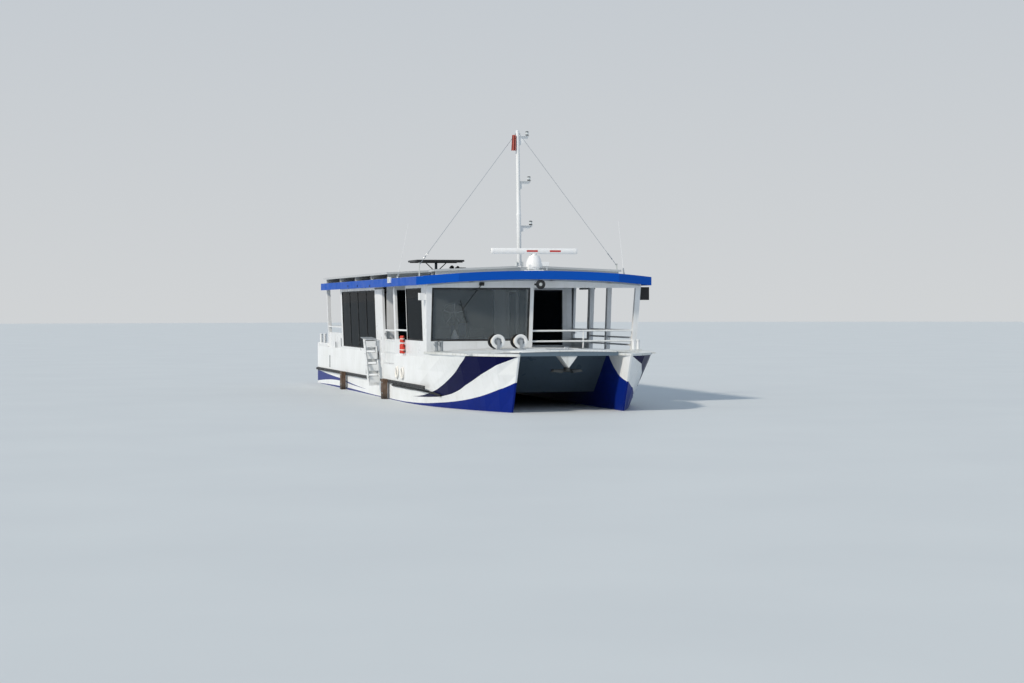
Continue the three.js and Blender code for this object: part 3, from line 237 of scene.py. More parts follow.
def batten(tree, along, points, upright):
    """A fair edge: x from z where it is upright, or else z from x, both as shares."""
    start, end = BATTEN_X
    pairs = [((x - start) / (end - start), z / BATTEN_Z) for x, z in points]
    pairs = sorted((z, x) if upright else (x, z) for x, z in pairs)
    edge = add(tree, "FloatCurve", {"Value": along})
    curve = edge.node.mapping.curves[0]
    while len(curve.points) < len(pairs):
        curve.points.new(0.5, 0.5)
    for point, pair in zip(curve.points, pairs):
        point.location = pair
    edge.node.mapping.update()
    return edge


def where(tree, *rising):
    """A mask that is 1 where every pair of values rises, from the first to the second."""
    mask = 1.0
    for low, high in rising:
        less = add(tree, "Math", {0: low, 1: high}, operation="LESS_THAN")
        mask = add(tree, "Math", {0: mask, 1: less}, operation="MULTIPLY")
    return mask


def hull_enamel():
    made, tree, shader = start_material("masked_hull_enamel", WHITE, 0.24, Specular_IOR_Level=0.07)
    place = add(tree, "TexCoord", out=3)
    x, y, z = [add(tree, "SeparateXYZ", {0: place}, out=i) for i in range(3)]
    along = add(tree, "MapRange", {0: x, 1: BATTEN_X[0], 2: BATTEN_X[1]})
    up = add(tree, "MapRange", {0: z, 1: 0.0, 2: BATTEN_Z})
    beam = add(tree, "Math", {0: y}, operation="ABSOLUTE")
    outer = (INNER_FACE, beam)
    sweep = where(tree, outer, (SWEEP_Z, z), (batten(tree, up, SWEEP_AFT, True), along),
                  (along, batten(tree, up, SWEEP_FORE, True)))
    wedge = where(tree, outer, (x, WEDGE_X), (batten(tree, along, WEDGE_LOW, False), up),
                  (up, batten(tree, along, WEDGE_TOP, False)))
    band = where(tree, outer, (up, batten(tree, along, BAND_TOP, False)))
    inside = where(tree, (beam, INNER_FACE), (along, batten(tree, up, INNER_EDGE, True)))
    low, high = SIDE_DECK_Z
    deck = where(tree, (FLOOR_LIKE, looks_up(tree)), (z, high), (low, z))
    deep = where(tree, (z, BOOT_Z))
    colour = linear(WHITE)
    for mask, paint in [(band, BLUE), (wedge, BLUE), (inside, BLUE), (sweep, NAVY), (deep, DEEP),
                        (deck, FLOOR_GREY)]:
        colour = add(tree, "Mix", {0: mask, 6: colour, 7: paint}, **RGBA)
    weathered(tree, shader, colour, 0.32, dirt=0.25)
    matt = add(tree, "Math", {0: deep, 1: deck}, operation="MAXIMUM")
    dull = add(tree, "MapRange", {0: matt, 1: 0.0, 2: 1.0, 3: 0.34, 4: 0.75})
    tree.links.new(dull, shader.inputs["Roughness"])
    return made


HULL_ENAMEL = hull_enamel()
print("hull enamel has", len(HULL_ENAMEL.node_tree.nodes), "nodes")

# %% [markdown]
# ## Decks and floors
# Deck paint carries sharp grit so that wet shoes hold. The grains are under a millimetre, too fine
# to show, so they are drawn four times as coarse. The house floor is the same idea in grey, over
# the dark underside of the bridge deck, so one material looks at which way a face points.

# %% Deck paints
GRIT = 4 * MM


def grit_paint(name, colour, under=None):
    made, tree, shader = start_material(name, colour, 0.7)
    ground = linear(colour)
    if under:
        top = where(tree, (FLOOR_LIKE, looks_up(tree)))
        ground = add(tree, "Mix", {0: top, 6: under, 7: colour}, **RGBA)
    weathered(tree, shader, ground, 0.62, dirt=0.7)
    relief(tree, shader, patches(tree, GRIT), 0.4 * MM)
    return made


DECK_WHITE = grit_paint("grit_deck_paint", "#d9dddf")
BRIDGE_DECK = grit_paint("grit_floor_over_tunnel_epoxy", "#868d92", under="#4a5967")

# %% [markdown]
# ## Metals
# Five bare metals show. Stainless stays, hinges and reel stands are brushed, so they glint in
# streaks along the bar. The searchlight is polished chrome, which mirrors the sky, and the modules'
# frames are anodised aluminium, an even satin. Bollards are dipped in zinc, which freezes in dull
# pale spangles 10 to 20 mm across. The propellers are cast bronze, warm and slightly dimpled. A
# metal keeps the default index of refraction, because its colour does that work.

# %% Bare metals
SPANGLE = 15 * MM


def brushed_steel():
    made, tree, shader = start_material("brushed_stainless", "#b9bdc1", 0.28, metallic=1.0)
    rough_between(tree, shader, patches(tree, 12 * MM, (1, 1, 12)), 0.22, 0.42)
    return made


def galvanised():
    made, tree, shader = start_material("hot_dip_galvanised", "#a3a9ad", 0.5, metallic=0.85)
    place = add(tree, "TexCoord", out=3)
    spangle = add(tree, "TexVoronoi", {"Vector": place, "Scale": 1 / SPANGLE})
    tint = add(tree, "Mix", {0: spangle, 6: "#8d9397", 7: "#b9bfc3"}, **RGBA)
    coloured(tree, shader, tint)
    rough_between(tree, shader, patches(tree, 40 * MM), 0.42, 0.62)
    return made


def cast_bronze():
    made, tree, shader = start_material("cast_bronze", "#a9803e", 0.35, metallic=1.0)
    tint = add(tree, "Mix", {0: patches(tree, 0.12), 6: "#b78b45", 7: "#6f5a35"}, **RGBA)
    coloured(tree, shader, tint)
    relief(tree, shader, patches(tree, 6 * MM), 0.3 * MM)
    return made


def anodised(name, colour, roughness):
    made, tree, shader = start_material(name, colour, roughness, metallic=0.9)
    rough_between(tree, shader, patches(tree, 50 * MM), roughness - 0.06, roughness + 0.08)
    return made


STEEL = brushed_steel()
ZINC = galvanised()
BRONZE = cast_bronze()
ALUMINIUM = anodised("anodised_aluminium", "#c6cacd", 0.35)
CHROME = anodised("polished_chrome", "#e2e4e6", 0.08)

# %% [markdown]
# ## Glass, rubber and plastics
# The side windows carry a dark film over toughened glass, which hides the saloon by day. Its tint is
# drawn nearly black and almost opaque, so the darkness is partly the film and partly painted shade of
# the saloon behind it. The windscreen is lighter laminated glass, so the helm shows through it; its
# pale grey veil is partly painted reflection of the sky. A thin tinted sheet is drawn as a
# part-covering surface, which is cleaner than bent light and lets the sun reach the inside.
# Rubber is moulded and goes chalky outdoors. The radar's shell is gelcoat over glass fibre and the
# reels are moulded polyethylene, both smooth with a soft shine.

# %% Glass, rubber and plastics
def glass(name, colour, body, sheen):
    """Sheet glass: `body` is how much its tint covers what is behind, `sheen` how much it mirrors."""
    made, tree, shader = start_material(name, colour, 0.02, Alpha=body, Specular_IOR_Level=sheen)
    rough_between(tree, shader, patches(tree, 0.6), 0.01, 0.05)
    return made


def moulded(name, colour, roughness, grain, depth, chalk="#ffffff", chalkiness=0.0, **values):
    """A moulded surface: an even colour, a fine grain, and a share of chalky weathering."""
    made, tree, shader = start_material(name, colour, roughness, **values)
    worn = add(tree, "MapRange", {0: patches(tree, 0.15), 1: 0.45, 2: 0.75, 3: 0.0, 4: chalkiness})
    tint = add(tree, "Mix", {0: worn, 6: colour, 7: chalk}, **RGBA)
    coloured(tree, shader, tint)
    rough_between(tree, shader, patches(tree, 0.1), roughness - 0.06, roughness + 0.1)
    relief(tree, shader, patches(tree, grain), depth)
    return made


# To the eye: filmed glass is nearly black, partly painted shade of the saloon behind it; laminated
# glass lets the helm through under a pale veil that is partly painted sky reflection; and a lamp's
# lens is milky. Rubber is dull with chalk, gelcoat glossy, moulded plastic satin, pressed laminate
# flat and even, and coated vinyl soft with worn patches.
# Near-black and nearly opaque: the film's tint plus painted shade of the saloon behind the glass.
WINDOW_GLASS = glass("dark_film_glass_and_painted_shade", "#080e13", 0.90, 0.005)
# The pale grey veil over this glass is partly painted reflection of the sky.
SCREEN_GLASS = glass("laminated_glass_and_painted_reflection", "#7d868b", 0.30, 0.10)
DOOR_GLASS = glass("grey_toughened_glass", "#1f272c", 0.70, 0.15)
LAMP_GLASS = glass("moulded_lamp_lens", "#dfe7ea", 0.62, 0.40)
RUBBER = moulded("moulded_black_rubber", "#18191b", 0.65, 3 * MM, 0.3 * MM, "#5a5c5e", 0.5)
GELCOAT = moulded("white_gelcoat", "#eceef0", 0.22, 0.2, 0.3 * MM, "#cfccc0", 0.2, Coat_Weight=0.3)
REEL_PLASTIC = moulded("moulded_white_polyethylene", "#e4e7e9", 0.40, 2 * MM, 0.1 * MM, "#c2c2b8", 0.3)
GREY_PLASTIC = moulded("moulded_grey_plastic", "#8b9298", 0.45, 2 * MM, 0.1 * MM)
BLACK_PLASTIC = moulded("moulded_black_plastic", "#15171a", 0.42, 2 * MM, 0.1 * MM, "#4a4c4e", 0.3)
LAMINATE = moulded("pressed_grey_laminate", "#8796a4", 0.55, 1.5 * MM, 0.1 * MM)
VINYL_WHITE = moulded("coated_vinyl_white", "#e9e7e2", 0.45, 4 * MM, 0.2 * MM, "#bdb9ad", 0.4)
VINYL_RED = moulded("coated_vinyl_red", "#c8321f", 0.45, 4 * MM, 0.2 * MM, "#e06a50", 0.3)
print("materials so far", len(bpy.data.materials))

# %% [markdown]
# ## Solar modules
# Each module is a sheet of glass over rows of silicon cells 156 mm square, with thin pale lines
# between them, in an aluminium frame. The real gap is 3 mm. A brick pattern without any offset
# draws that grid in one node. It shows only on faces that look up, and the edges and the bearers
# underneath stay plain aluminium.

# %% Solar cells
CELL = 0.156
CELL_GAP = 3 * MM


def solar_cells():
    made, tree, shader = start_material("glazed_silicon_cells", "#10182a", 0.12, Coat_Weight=0.6)
    place = add(tree, "TexCoord", out=3)
    cells = add(tree, "TexBrick", {"Vector": place, "Color1": "#0d1526", "Color2": "#121c33",
                                   "Mortar": "#76818c", "Scale": 1.0, "Mortar Size": CELL_GAP / 2,
                                   "Mortar Smooth": 0.0, "Brick Width": CELL, "Row Height": CELL},
                offset=0.0, squash=1.0)
    top = where(tree, (FLOOR_LIKE, looks_up(tree)))
    colour = add(tree, "Mix", {0: top, 6: "#b4b9bd", 7: cells}, **RGBA)
    coloured(tree, shader, colour)
    dull = add(tree, "MapRange", {0: top, 1: 0.0, 2: 1.0, 3: 0.4, 4: 0.10})
    tree.links.new(dull, shader.inputs["Roughness"])
    return made


SOLAR = solar_cells()
# Painted shade: the raised module is seen from below, so it is drawn dark all over.
SOLAR_PAINTED_SHADE = anodised("dark_module_painted_shade", "#232a33", 0.3)

# %% [markdown]
# ## Timber
# The fender timbers are sawn hardwood stood upright, greyed by weather and dark where they stay
# wet. Grain runs up the timber, so noise is stretched ten times along Z, and its lines are about
# 6 mm apart. Fine cracks follow the same lines.

# %% Weathered timber
GRAIN = 6 * MM


def timber():
    made, tree, shader = start_material("sawn_hardwood", "#4b382c", 0.8)
    lines = patches(tree, GRAIN, (1, 1, 0.08), detail=5.0)
    sharp = add(tree, "MapRange", {0: lines, 1: 0.35, 2: 0.65})
    wood = add(tree, "Mix", {0: sharp, 6: "#33251d", 7: "#6d5543"}, **RGBA)
    bleached = add(tree, "MapRange", {0: patches(tree, 0.25), 1: 0.45, 2: 0.75, 3: 0.0, 4: 0.5})
    wood = add(tree, "Mix", {0: bleached, 6: wood, 7: "#8a8178"}, **RGBA)
    place = add(tree, "TexCoord", out=3)
    height = add(tree, "SeparateXYZ", {0: place}, out=2)
    wet = add(tree, "MapRange", {0: height, 1: 0.05, 2: 0.2, 3: 0.8, 4: 0.0})
    wood = add(tree, "Mix", {0: wet, 6: wood, 7: "#1f1915"}, **RGBA)
    coloured(tree, shader, wood)
    relief(tree, shader, lines, 1.0 * MM)
    return made


TIMBER = timber()

# %% [markdown]
# ## Cloth and rope
# The seats are covered in a woven contract fabric, the pennant is thin nylon and the reels hold
# laid rope. A weave is a fine checker of threads that pass over and under each other. Real thread
# spacing is under a millimetre and is drawn at 4 mm so that it shows. Sheen gives the soft bright
# edge that fibres catch.

# %% Cloth and rope
THREAD = 4 * MM
STRAND = 14 * MM


def woven(name, warp, weft, thread, roughness, sheen):
    made, tree, shader = start_material(name, warp, roughness, Sheen_Weight=sheen)
    place = add(tree, "TexCoord", out=3)
    over = add(tree, "TexChecker", {"Vector": place, "Color1": warp, "Color2": weft, "Scale": 1 / thread})
    worn = add(tree, "MapRange", {0: patches(tree, 0.3), 1: 0.4, 2: 0.8, 3: 0.0, 4: 0.35})
    tint = add(tree, "Mix", {0: worn, 6: over, 7: weft}, **RGBA)
    coloured(tree, shader, tint)
    height = add(tree, "TexChecker", {"Vector": place, "Scale": 1 / thread}, out=1)
    relief(tree, shader, height, 0.4 * MM)
    return made


def laid_rope():
    made, tree, shader = start_material("laid_polyester_rope", "#d8d3c6", 0.85, Sheen_Weight=0.3)
    place = add(tree, "TexCoord", out=3)
    strands = add(tree, "TexWave", {"Vector": place, "Scale": 1 / STRAND / 6.28, "Distortion": 1.0,
                                    "Detail": 2.0}, bands_direction="DIAGONAL")
    tint = add(tree, "Mix", {0: strands, 6: "#a79f8e", 7: "#e6e2d8"}, **RGBA)
    coloured(tree, shader, tint)
    relief(tree, shader, strands, 1.5 * MM)
    return made


SEAT_FABRIC = woven("woven_seat_fabric", "#243b5e", "#314c74", THREAD, 0.85, 0.3)
NYLON = woven("woven_faded_red_nylon", "#a3463b", "#b5584c", THREAD, 0.55, 0.2)
ROPE = laid_rope()

# %% [markdown]
# ## Paint the frame
# Each solid of the frame gets the material of the real thing. A table of name prefixes does it,
# with the longest match first, so that no solid is left bare.

# %% Materials on the frame
FINISHES = [
    (HULL_ENAMEL, "hull_ bow_ stern_bulwark"), (BRIDGE_DECK, "bridge_deck"), (TUNNEL_GREY, "bow_panel"),
    (DECK_WHITE, "foredeck"), (IRON, "anchor"), (RUBBER, "strake_"), (TIMBER, "fender_timber_"),
    (HOUSE_WHITE, "saloon_side_ saloon_front_wall saloon_aft_wall wheelhouse_ half_wall bay_side_port"),
    (HOUSE_WHITE, "aft_side_panel_ front_frame aft_frame mast"), (ROOF_WHITE, "roof_panel"),
    (WINDOW_GLASS, "saloon_window_ wheelhouse_side_window"), (SCREEN_GLASS, "windscreen"),
    (DOOR_GLASS, "saloon_front_door saloon_aft_door"), (SEAT_FABRIC, "bench_ helm_seat"),
    (RAIL_WHITE, "side_gate_ front_rail boarding_steps"), (FASCIA_BLUE, "roof_fascia"),
    # The raised module takes the dark finish as painted shade of its underside.
    (SOLAR, "solar_array_"), (SOLAR_PAINTED_SHADE, "raised_solar_panel"), (GELCOAT, "radar_"),
    (CHROME, "searchlight"), (STEEL, "reel_stands"), (REEL_PLASTIC, "rope_reel_"),
    (ZINC, "stern_bollard_"), (BRONZE, "propeller_"), (ANTIFOULING, "rudder_"),
    (LAMINATE, "helm_console"),
]


def paint_frame():
    finish_of = {prefix: finish for finish, prefixes in FINISHES for prefix in prefixes.split()}
    for name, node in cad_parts.items():
        prefix = max((p for p in finish_of if name.startswith(p)), key=len)
        node.data.materials.clear()
        node.data.materials.append(finish_of[prefix])


paint_frame()
print("painted", len(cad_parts), "solids")

# %% [markdown]
# ## Kinds of form
# Almost everything on a boat is a block, a bent tube or a turned shape. A block may lean with the
# wall that it sits on, so `slab` takes a rule that turns its own three directions into points. A
# tube is a circle carried along a path. A turned shape is a profile spun about an axis. `piece`
# turns the faces outward, rounds the edges, gives the finish and ties the result to its body.

# %% Shape helpers
FORE, PORT, UP = (1, 0, 0), (0, 1, 0), (0, 0, 1)
SLAB_FACES = [(0, 1, 3, 2), (4, 5, 7, 6), (0, 1, 5, 4), (2, 3, 7, 6), (0, 2, 6, 4), (1, 3, 7, 5)]


def forms(count):
    """Empty meshes to build in, one for each finish."""
    return [bmesh.new() for _ in range(count)]


def upright(x, y, z):
    return x, y, z


def slab(bm, place, u, v, w):
    """A six-sided block between limits along three directions, which `place` turns into points."""
    corners = [bm.verts.new(place(a, b, c)) for c in w for b in v for a in u]
    for face in SLAB_FACES:
        bm.faces.new([corners[i] for i in face])


def about(middle, half):
    return middle - half, middle + half


def block(bm, x, y, z):
    slab(bm, upright, x, y, z)


def abeam(s, near, far):
    """Limits across the boat on one side, from two distances off the centreline."""
    return sorted((s * near, s * far))


def skin(bm, rings, closed=False, caps=True):
    """Joins rings of points, each to the next, and caps the ends."""
    rows = [[bm.verts.new(point) for point in ring] for ring in rings]
    pairs = list(zip(rows, rows[1:])) + ([(rows[-1], rows[0])] if closed else [])
    for a, b in pairs:
        for i in range(len(a)):
            j = (i + 1) % len(a)
            bm.faces.new((a[i], a[j], b[j], b[i]))
    if caps and not closed:
        bm.faces.new(rows[0])
        bm.faces.new(rows[-1])


def around(sides):
    return [tau * i / sides for i in range(sides)]


def tube(bm, points, radius, sides=12, closed=False):
    """A round bar along a path, with one radius or a radius for each point."""
    points = [Vector(p) for p in points]
    count = len(points)
    radii = radius if isinstance(radius, list) else [radius] * count
    rings, side = [], None
    for i, point in enumerate(points):
        before = points[i - 1] if closed or i else point
        after = points[(i + 1) % count] if closed or i < count - 1 else point
        ahead = (after - before).normalized()
        side = ahead.orthogonal() if side is None else side - ahead * side.dot(ahead)
        side.normalize()
        across = ahead.cross(side)
        rings.append([point + (side * cos(t) + across * sin(t)) * radii[i]
                      for t in around(sides)])
    skin(bm, rings, closed)


def turned(bm, centre, axis, profile, sides=32):
    """A turned shape from (radius, distance along the axis) pairs."""
    axis = Vector(axis).normalized()
    side = axis.orthogonal().normalized()
    across = axis.cross(side)
    skin(bm, [[Vector(centre) + axis * h + (side * cos(t) + across * sin(t)) * r
               for t in around(sides)] for r, h in profile])


def stud(bm, centre, axis, rim, top, sides=6):
    """A bolt head or a boss: a radius and a height at its rim, then at its top."""
    turned(bm, centre, axis, [(rim[0], 0), rim, top], sides)


def hoop(centre, axis, radius, count=32, start=0.0, sweep=tau):
    """Points round a circle, or along part of it."""
    axis = Vector(axis).normalized()
    side = Vector(UP if abs(axis.z) < 0.9 else FORE)
    side = (side - axis * side.dot(axis)).normalized()
    across = axis.cross(side)
    last = count if sweep >= tau else count - 1
    angles = [start + sweep * i / last for i in range(count)]
    return [Vector(centre) + (side * cos(a) + across * sin(a)) * radius for a in angles]


def fair(points, steps=6):
    """A smooth path through a few points."""
    points = [Vector(p) for p in points]
    ends = [points[0] * 2 - points[1], *points, points[-1] * 2 - points[-2]]
    path = []
    for a, b, c, d in zip(ends, ends[1:], ends[2:], ends[3:]):
        for i in range(steps):
            t = i / steps
            path.append(0.5 * (2 * b + (c - a) * t + (2 * a - 5 * b + 4 * c - d) * t ** 2
                               + (3 * b - a - 3 * c + d) * t ** 3))
    return [*path, points[-1]]


def meshed(name, bm):
    """A mesh from a form, with its faces outward."""
    bmesh.ops.recalc_face_normals(bm, faces=bm.faces)
    mesh = bpy.data.meshes.new(name)
    bm.to_mesh(mesh)
    bm.free()
    return mesh


def piece(name, bm, finish, body="ferry", slot=None, edge=0, replaces=(), sharp=35):
    """Hands over a form: edges rounded by `edge` mm, painted and tied to a body."""
    mesh = meshed(name, bm)
    mesh.polygons.foreach_set("use_smooth", [True] * len(mesh.polygons))
    mesh.materials.append(finish)
    made = placed(name, mesh)
    if edge:
        rounding = made.modifiers.new("edge", "BEVEL")
        rounding.width = edge * MM
        rounding.segments = 2
        rounding.limit_method = "ANGLE"
        rounding.harden_normals = True
    else:
        mesh.set_sharp_from_angle(angle=radians(sharp))
    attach(made, body)
    if replaces:
        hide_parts(*replaces)
    print(f"{name}: {len(mesh.polygons)} faces")
    return made


# %% [markdown]
# ## Where the walls are
# The house sides lean out as they rise, the front leans forward and the roof is cambered. These
# small rules give those surfaces in metres, so that a seal or a lamp can be placed by how far
# along, how high and how far out it sits.

# %% Surfaces of the house
DECK_Z = 0.8803  # just over the passenger deck
PLATE_Z = 1.3003  # just over the foredeck's plate
FRONT_X, RAKE = 6.0, 0.13  # the front at the plate, and its lean forward for each metre up
SILL_Y, SILL_Z, FLARE = 2.575, 1.15, 0.035  # the sides at the sill, and their lean out for each metre
ROOF_Z, ROOF_HALF, CAMBER = 3.05, 2.88, 0.135  # the roof at its side edges, and its rise
ROOF_AFT, ROOF_LONG = -7.8, 14.06  # its after end and its length
EDGE_Y, EDGE_SPREAD = 2.77, 0.11  # half-width at the blue edge aft, and how much it gains forward


def front_x(z):
    return FRONT_X + (z - PLATE_Z) * RAKE


def side_y(z):
    return SILL_Y + (z - SILL_Z) * FLARE


def roof_z(y):
    return ROOF_Z + CAMBER * (1 - (y / ROOF_HALF) ** 2)


def edge_y(x):
    return EDGE_Y + (x - ROOF_AFT) * EDGE_SPREAD / ROOF_LONG


def on_front(y, z, out):
    return front_x(z) + out, y, z


def on_side(s):
    return lambda x, z, out: (x, s * (side_y(z) + out), z)


def on_edge(s):
    return lambda x, z, out: (x, s * (edge_y(x) + out), z)


def on_bulkhead(x):
    return lambda y, z, out: (x + out, y, z)


def hull_y(x, z, s):
    """Half-width of the hull's outer face, found by looking in at it from the side."""
    hits = []
    for part in ("bow", "hull"):
        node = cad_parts[part + ("_starboard" if s < 0 else "_port")]
        found, place, _, _ = node.ray_cast(Vector((x, s * 4, z)), Vector((0, -s, 0)))
        if found:
            hits.append(abs(place.y))
    return max(hits)


print("hull half-width at x 6.3:", round(hull_y(6.3, 0.4, -1), 3))

# %% [markdown]
# ## Window seals and glazing bars
# Each big pane sits in an extruded black rubber seal that laps its edge, and the saloon's long
# window is four panes with rubber joints. Four thin slabs make a seal, and they lean with the wall
# because they share its rule.

# %% Seals and inner panes
SEAL = 0.034
SEAL_FACE = (-0.008, 0.004)  # how far a seal goes into the wall and stands out of it
SALOON_JOINTS = [-3.75, -2.52, -1.29]
FRONT_PANE, SALOON_PANE, INNER_PANE = (1.54, 2.79), (1.225, 2.79), (1.325, 2.79)  # spans up
INNER_WALL_Y = -0.065


def seal(bm, place, u, v, w, width=SEAL):
    u0, u1, v0, v1 = *u, *v
    slab(bm, place, u, (v0, v0 + width), w)
    slab(bm, place, u, (v1 - width, v1), w)
    slab(bm, place, (u0, u0 + width), (v0 + width, v1 - width), w)
    slab(bm, place, (u1 - width, u1), (v0 + width, v1 - width), w)


def window_seals():
    bm = bmesh.new()
    seal(bm, on_front, (-2.49, -0.11), FRONT_PANE, (-0.046, -0.026), 0.042)
    seal(bm, on_side(-1), (3.91, 5.64), FRONT_PANE, SEAL_FACE)
    for s in SIDES.values():
        seal(bm, on_side(s), (-4.98, -0.06), SALOON_PANE, SEAL_FACE)
        for x in SALOON_JOINTS:
            slab(bm, on_side(s), about(x, 0.015), (1.259, 2.756), SEAL_FACE)
    piece("window_seals", bm, RUBBER, slot="black_rubber", edge=2)


def inner_panes():
    """The rule, the span across and the span up of each pane in an inner wall."""
    for x in (0.92, -5.07):
        for across in ((-2.25, -0.62), (0.62, 2.25)):
            yield on_bulkhead(x), across, INNER_PANE
    yield on_bulkhead(3.875), (-2.30, -0.40), FRONT_PANE
    yield (lambda x, z, out: (x, INNER_WALL_Y + out, z)), (4.99, 5.70), FRONT_PANE


def inner_glazing():
    panes, seals = forms(2)
    for place, (u0, u1), (v0, v1) in inner_panes():
        slab(panes, place, (u0 + MM, u1 - MM), (v0 + MM, v1 - MM), (-0.004, 0.004))
        for w in ((-0.016, -0.005), (0.005, 0.016)):
            seal(seals, place, (u0, u1), (v0, v1), w, 0.03)
    # The inner panes share the near-black glass, whose darkness is partly painted shade.
    piece("inner_panes", panes, WINDOW_GLASS, slot="window_glass")
    piece("inner_seals", seals, RUBBER, slot="black_rubber", edge=2)


window_seals()
inner_glazing()

# %% [markdown]
# ## Mast
# The mast is a tapered aluminium tube with three bracket arms to port. Each arm carries a running
# light, a black-based lantern with a clear lens. Two wire stays run from its head to the roof
# edges, with a turnbuckle near each foot to set them tight. A turned tube, cut plates and swept
# wires make it, all on the mast's own body so that it folds as one.

# %% Mast, arms and stays
MAST_X, PIVOT_Z = 4.8, 3.38  # the pin it folds on, and the stays' feet
MAST_FOOT, MAST_HEAD = Vector((MAST_X, 0, 3.34)), Vector((4.65, 0, 6.63))
ARMS = [(6.50, 0.27, 0.23), (5.40, 0.30, 0.20), (4.32, 0.33, 0.16)]  # height, reach, depth
STAY_HEAD_Z, STAY_Y = 6.56, 2.467
LANTERN_BASE = [(0.040, 0), (0.042, 0.004), (0.042, 0.022), (0.036, 0.028)]
LANTERN_CAP = [(0.036, 0.086), (0.043, 0.09), (0.043, 0.098), (0.02, 0.108)]
LANTERN_LENS = [(0.034, 0.028), (0.037, 0.04), (0.038, 0.057), (0.037, 0.075), (0.034, 0.086)]
TURNBUCKLE = [(0.006, 0), (0.012, 0.02), (0.014, 0.05), (0.010, 0.06), (0.010, 0.16), (0.014, 0.17),
              (0.012, 0.20), (0.006, 0.22)]


def mast_x(z):
    """The mast leans aft by 150 mm from its pin to its head."""
    return MAST_X - 0.15 * (z - PIVOT_Z) / 3.25


def mast_tube():
    bm = bmesh.new()
    up = MAST_HEAD - MAST_FOOT
    length = up.length
    turned(bm, MAST_FOOT, up, [(0.050, 0), (0.055, 0.01), (0.055, 1.20), (0.058, 1.21), (0.058, 1.27),
                               (0.050, 1.28), (0.042, length - 0.02), (0.046, length - 0.018),
                               (0.046, length), (0.030, length + 0.008)], 28)
    tube(bm, [(MAST_X, y, PIVOT_Z) for y in (-0.0717, 0.0717)], 0.018)
    for z, reach, depth in ARMS:
        x = mast_x(z)
        profile = [(0.03, z), (0.03, z - depth), (0.06, z - depth), (reach, z - 0.035), (reach, z)]
        skin(bm, [[(x + t, y, height) for y, height in profile] for t in (-0.006, 0.006)])
        block(bm, about(x, 0.045), (0.03, reach + 0.01), about(z, 0.004))
        block(bm, about(x, 0.06), (reach - 0.08, reach + 0.02), (z + 0.004, z + 0.010))
    piece("mast_tube", bm, HOUSE_WHITE, "mast", "mast_paint", edge=1.5, replaces=["mast"])


def stays():
    bm = bmesh.new()
    for s in SIDES.values():
        head = Vector((mast_x(STAY_HEAD_Z), 0.04 * s, STAY_HEAD_Z))
        foot = Vector((MAST_X, STAY_Y * s, PIVOT_Z))
        along = (foot - head).normalized()
        tube(bm, [head, foot - along * 0.36], 0.005, 8)
        turned(bm, foot - along * 0.36, along, TURNBUCKLE, 12)
        tube(bm, [foot - along * 0.13, foot - along * 0.01], 0.007, 8)
        tube(bm, hoop(head + along * 0.01, FORE, 0.018, 16), 0.004, 6, closed=True)
        tube(bm, [(MAST_X, (STAY_Y + pin) * s, PIVOT_Z) for pin in (-0.013, 0.013)], 0.013, 16)
    piece("mast_stays", bm, STEEL, "mast", "steel", replaces=["mast"])


def mast_lanterns():
    black, lens = forms(2)
    for z, reach, _ in ARMS:
        base = (mast_x(z), reach - 0.03, z + 0.010)
        turned(black, base, UP, LANTERN_BASE, 24)
        turned(black, base, UP, LANTERN_CAP, 24)
        turned(lens, base, UP, LANTERN_LENS, 24)
    piece("mast_lantern_bases", black, BLACK_PLASTIC, "mast", "mast_paint", replaces=["mast"])
    piece("mast_lantern_lenses", lens, LAMP_GLASS, "mast", "mast_paint", replaces=["mast"])


mast_tube()
stays()
mast_lanterns()

# %% [markdown]
# ## Pennant
# A small faded red pennant hangs limp at the masthead on a light halyard. It is one layer of
# nylon, 300 by 380 mm flat, whose width falls into soft folds. The folds are a wave walked at an
# even pace, so the cloth keeps its real width whatever its shape.

# %% Pennant
PENNANT = (0.30, 0.38)  # width, drop
PENNANT_TOP, PENNANT_ROWS, PENNANT_STEPS = 6.52, 18, 44
FOLDS = 2.2  # waves across the cloth
SWING = 1.85  # how far a fold turns off the cloth's heading, in radians, which eases downwards
SLANT = 0.35  # the folds run out to starboard and turn this much forward, in radians
HALYARD_Y = -0.060


def folded_line(width, swing):
    """Points along a folded edge: each step covers the same length of cloth."""
    x, y, points = 0.0, 0.0, [(0.0, 0.0)]
    for i in range(PENNANT_STEPS):
        heading = swing * sin(tau * FOLDS * (i + 0.5) / PENNANT_STEPS) + SLANT
        x += width / PENNANT_STEPS * sin(heading)
        y -= width / PENNANT_STEPS * cos(heading)
        points.append((x, y))
    return points


def pennant():
    bm, line = forms(2)
    width, drop = PENNANT
    grid = []
    for j in range(PENNANT_ROWS + 1):
        share = j / PENNANT_ROWS
        z = PENNANT_TOP - drop * share
        grid.append([bm.verts.new((mast_x(z) + x, HALYARD_Y + y, z - 0.02 * (y / width) ** 2))
                     for x, y in folded_line(width, SWING - 0.2 * share)])
    for a, b in zip(grid, grid[1:]):
        for i in range(PENNANT_STEPS):
            bm.faces.new((a[i], a[i + 1], b[i + 1], b[i]))
    cloth = piece("pennant", bm, NYLON, "mast", sharp=180)
    halyard = [(-0.05, 6.58), (HALYARD_Y, 6.54), (HALYARD_Y, 6.10), (-0.045, 6.06)]
    tube(line, [(mast_x(z), y, z) for y, z in halyard], 0.003, 6)
    piece("pennant_halyard", line, STEEL, "mast", "steel")


pennant()

# %% [markdown]
# ## Radar and aerials
# An open-array radar turns on a squat gearbox on the roof's centreline. Its scanner is a long
# moulded beam with a flat back, a curved face and two plain red stripes. Two glass-fibre whip
# aerials stand at the roof edges. The gearbox and beam replace the plain solids and keep their
# place, so that the beam still turns on its own body.

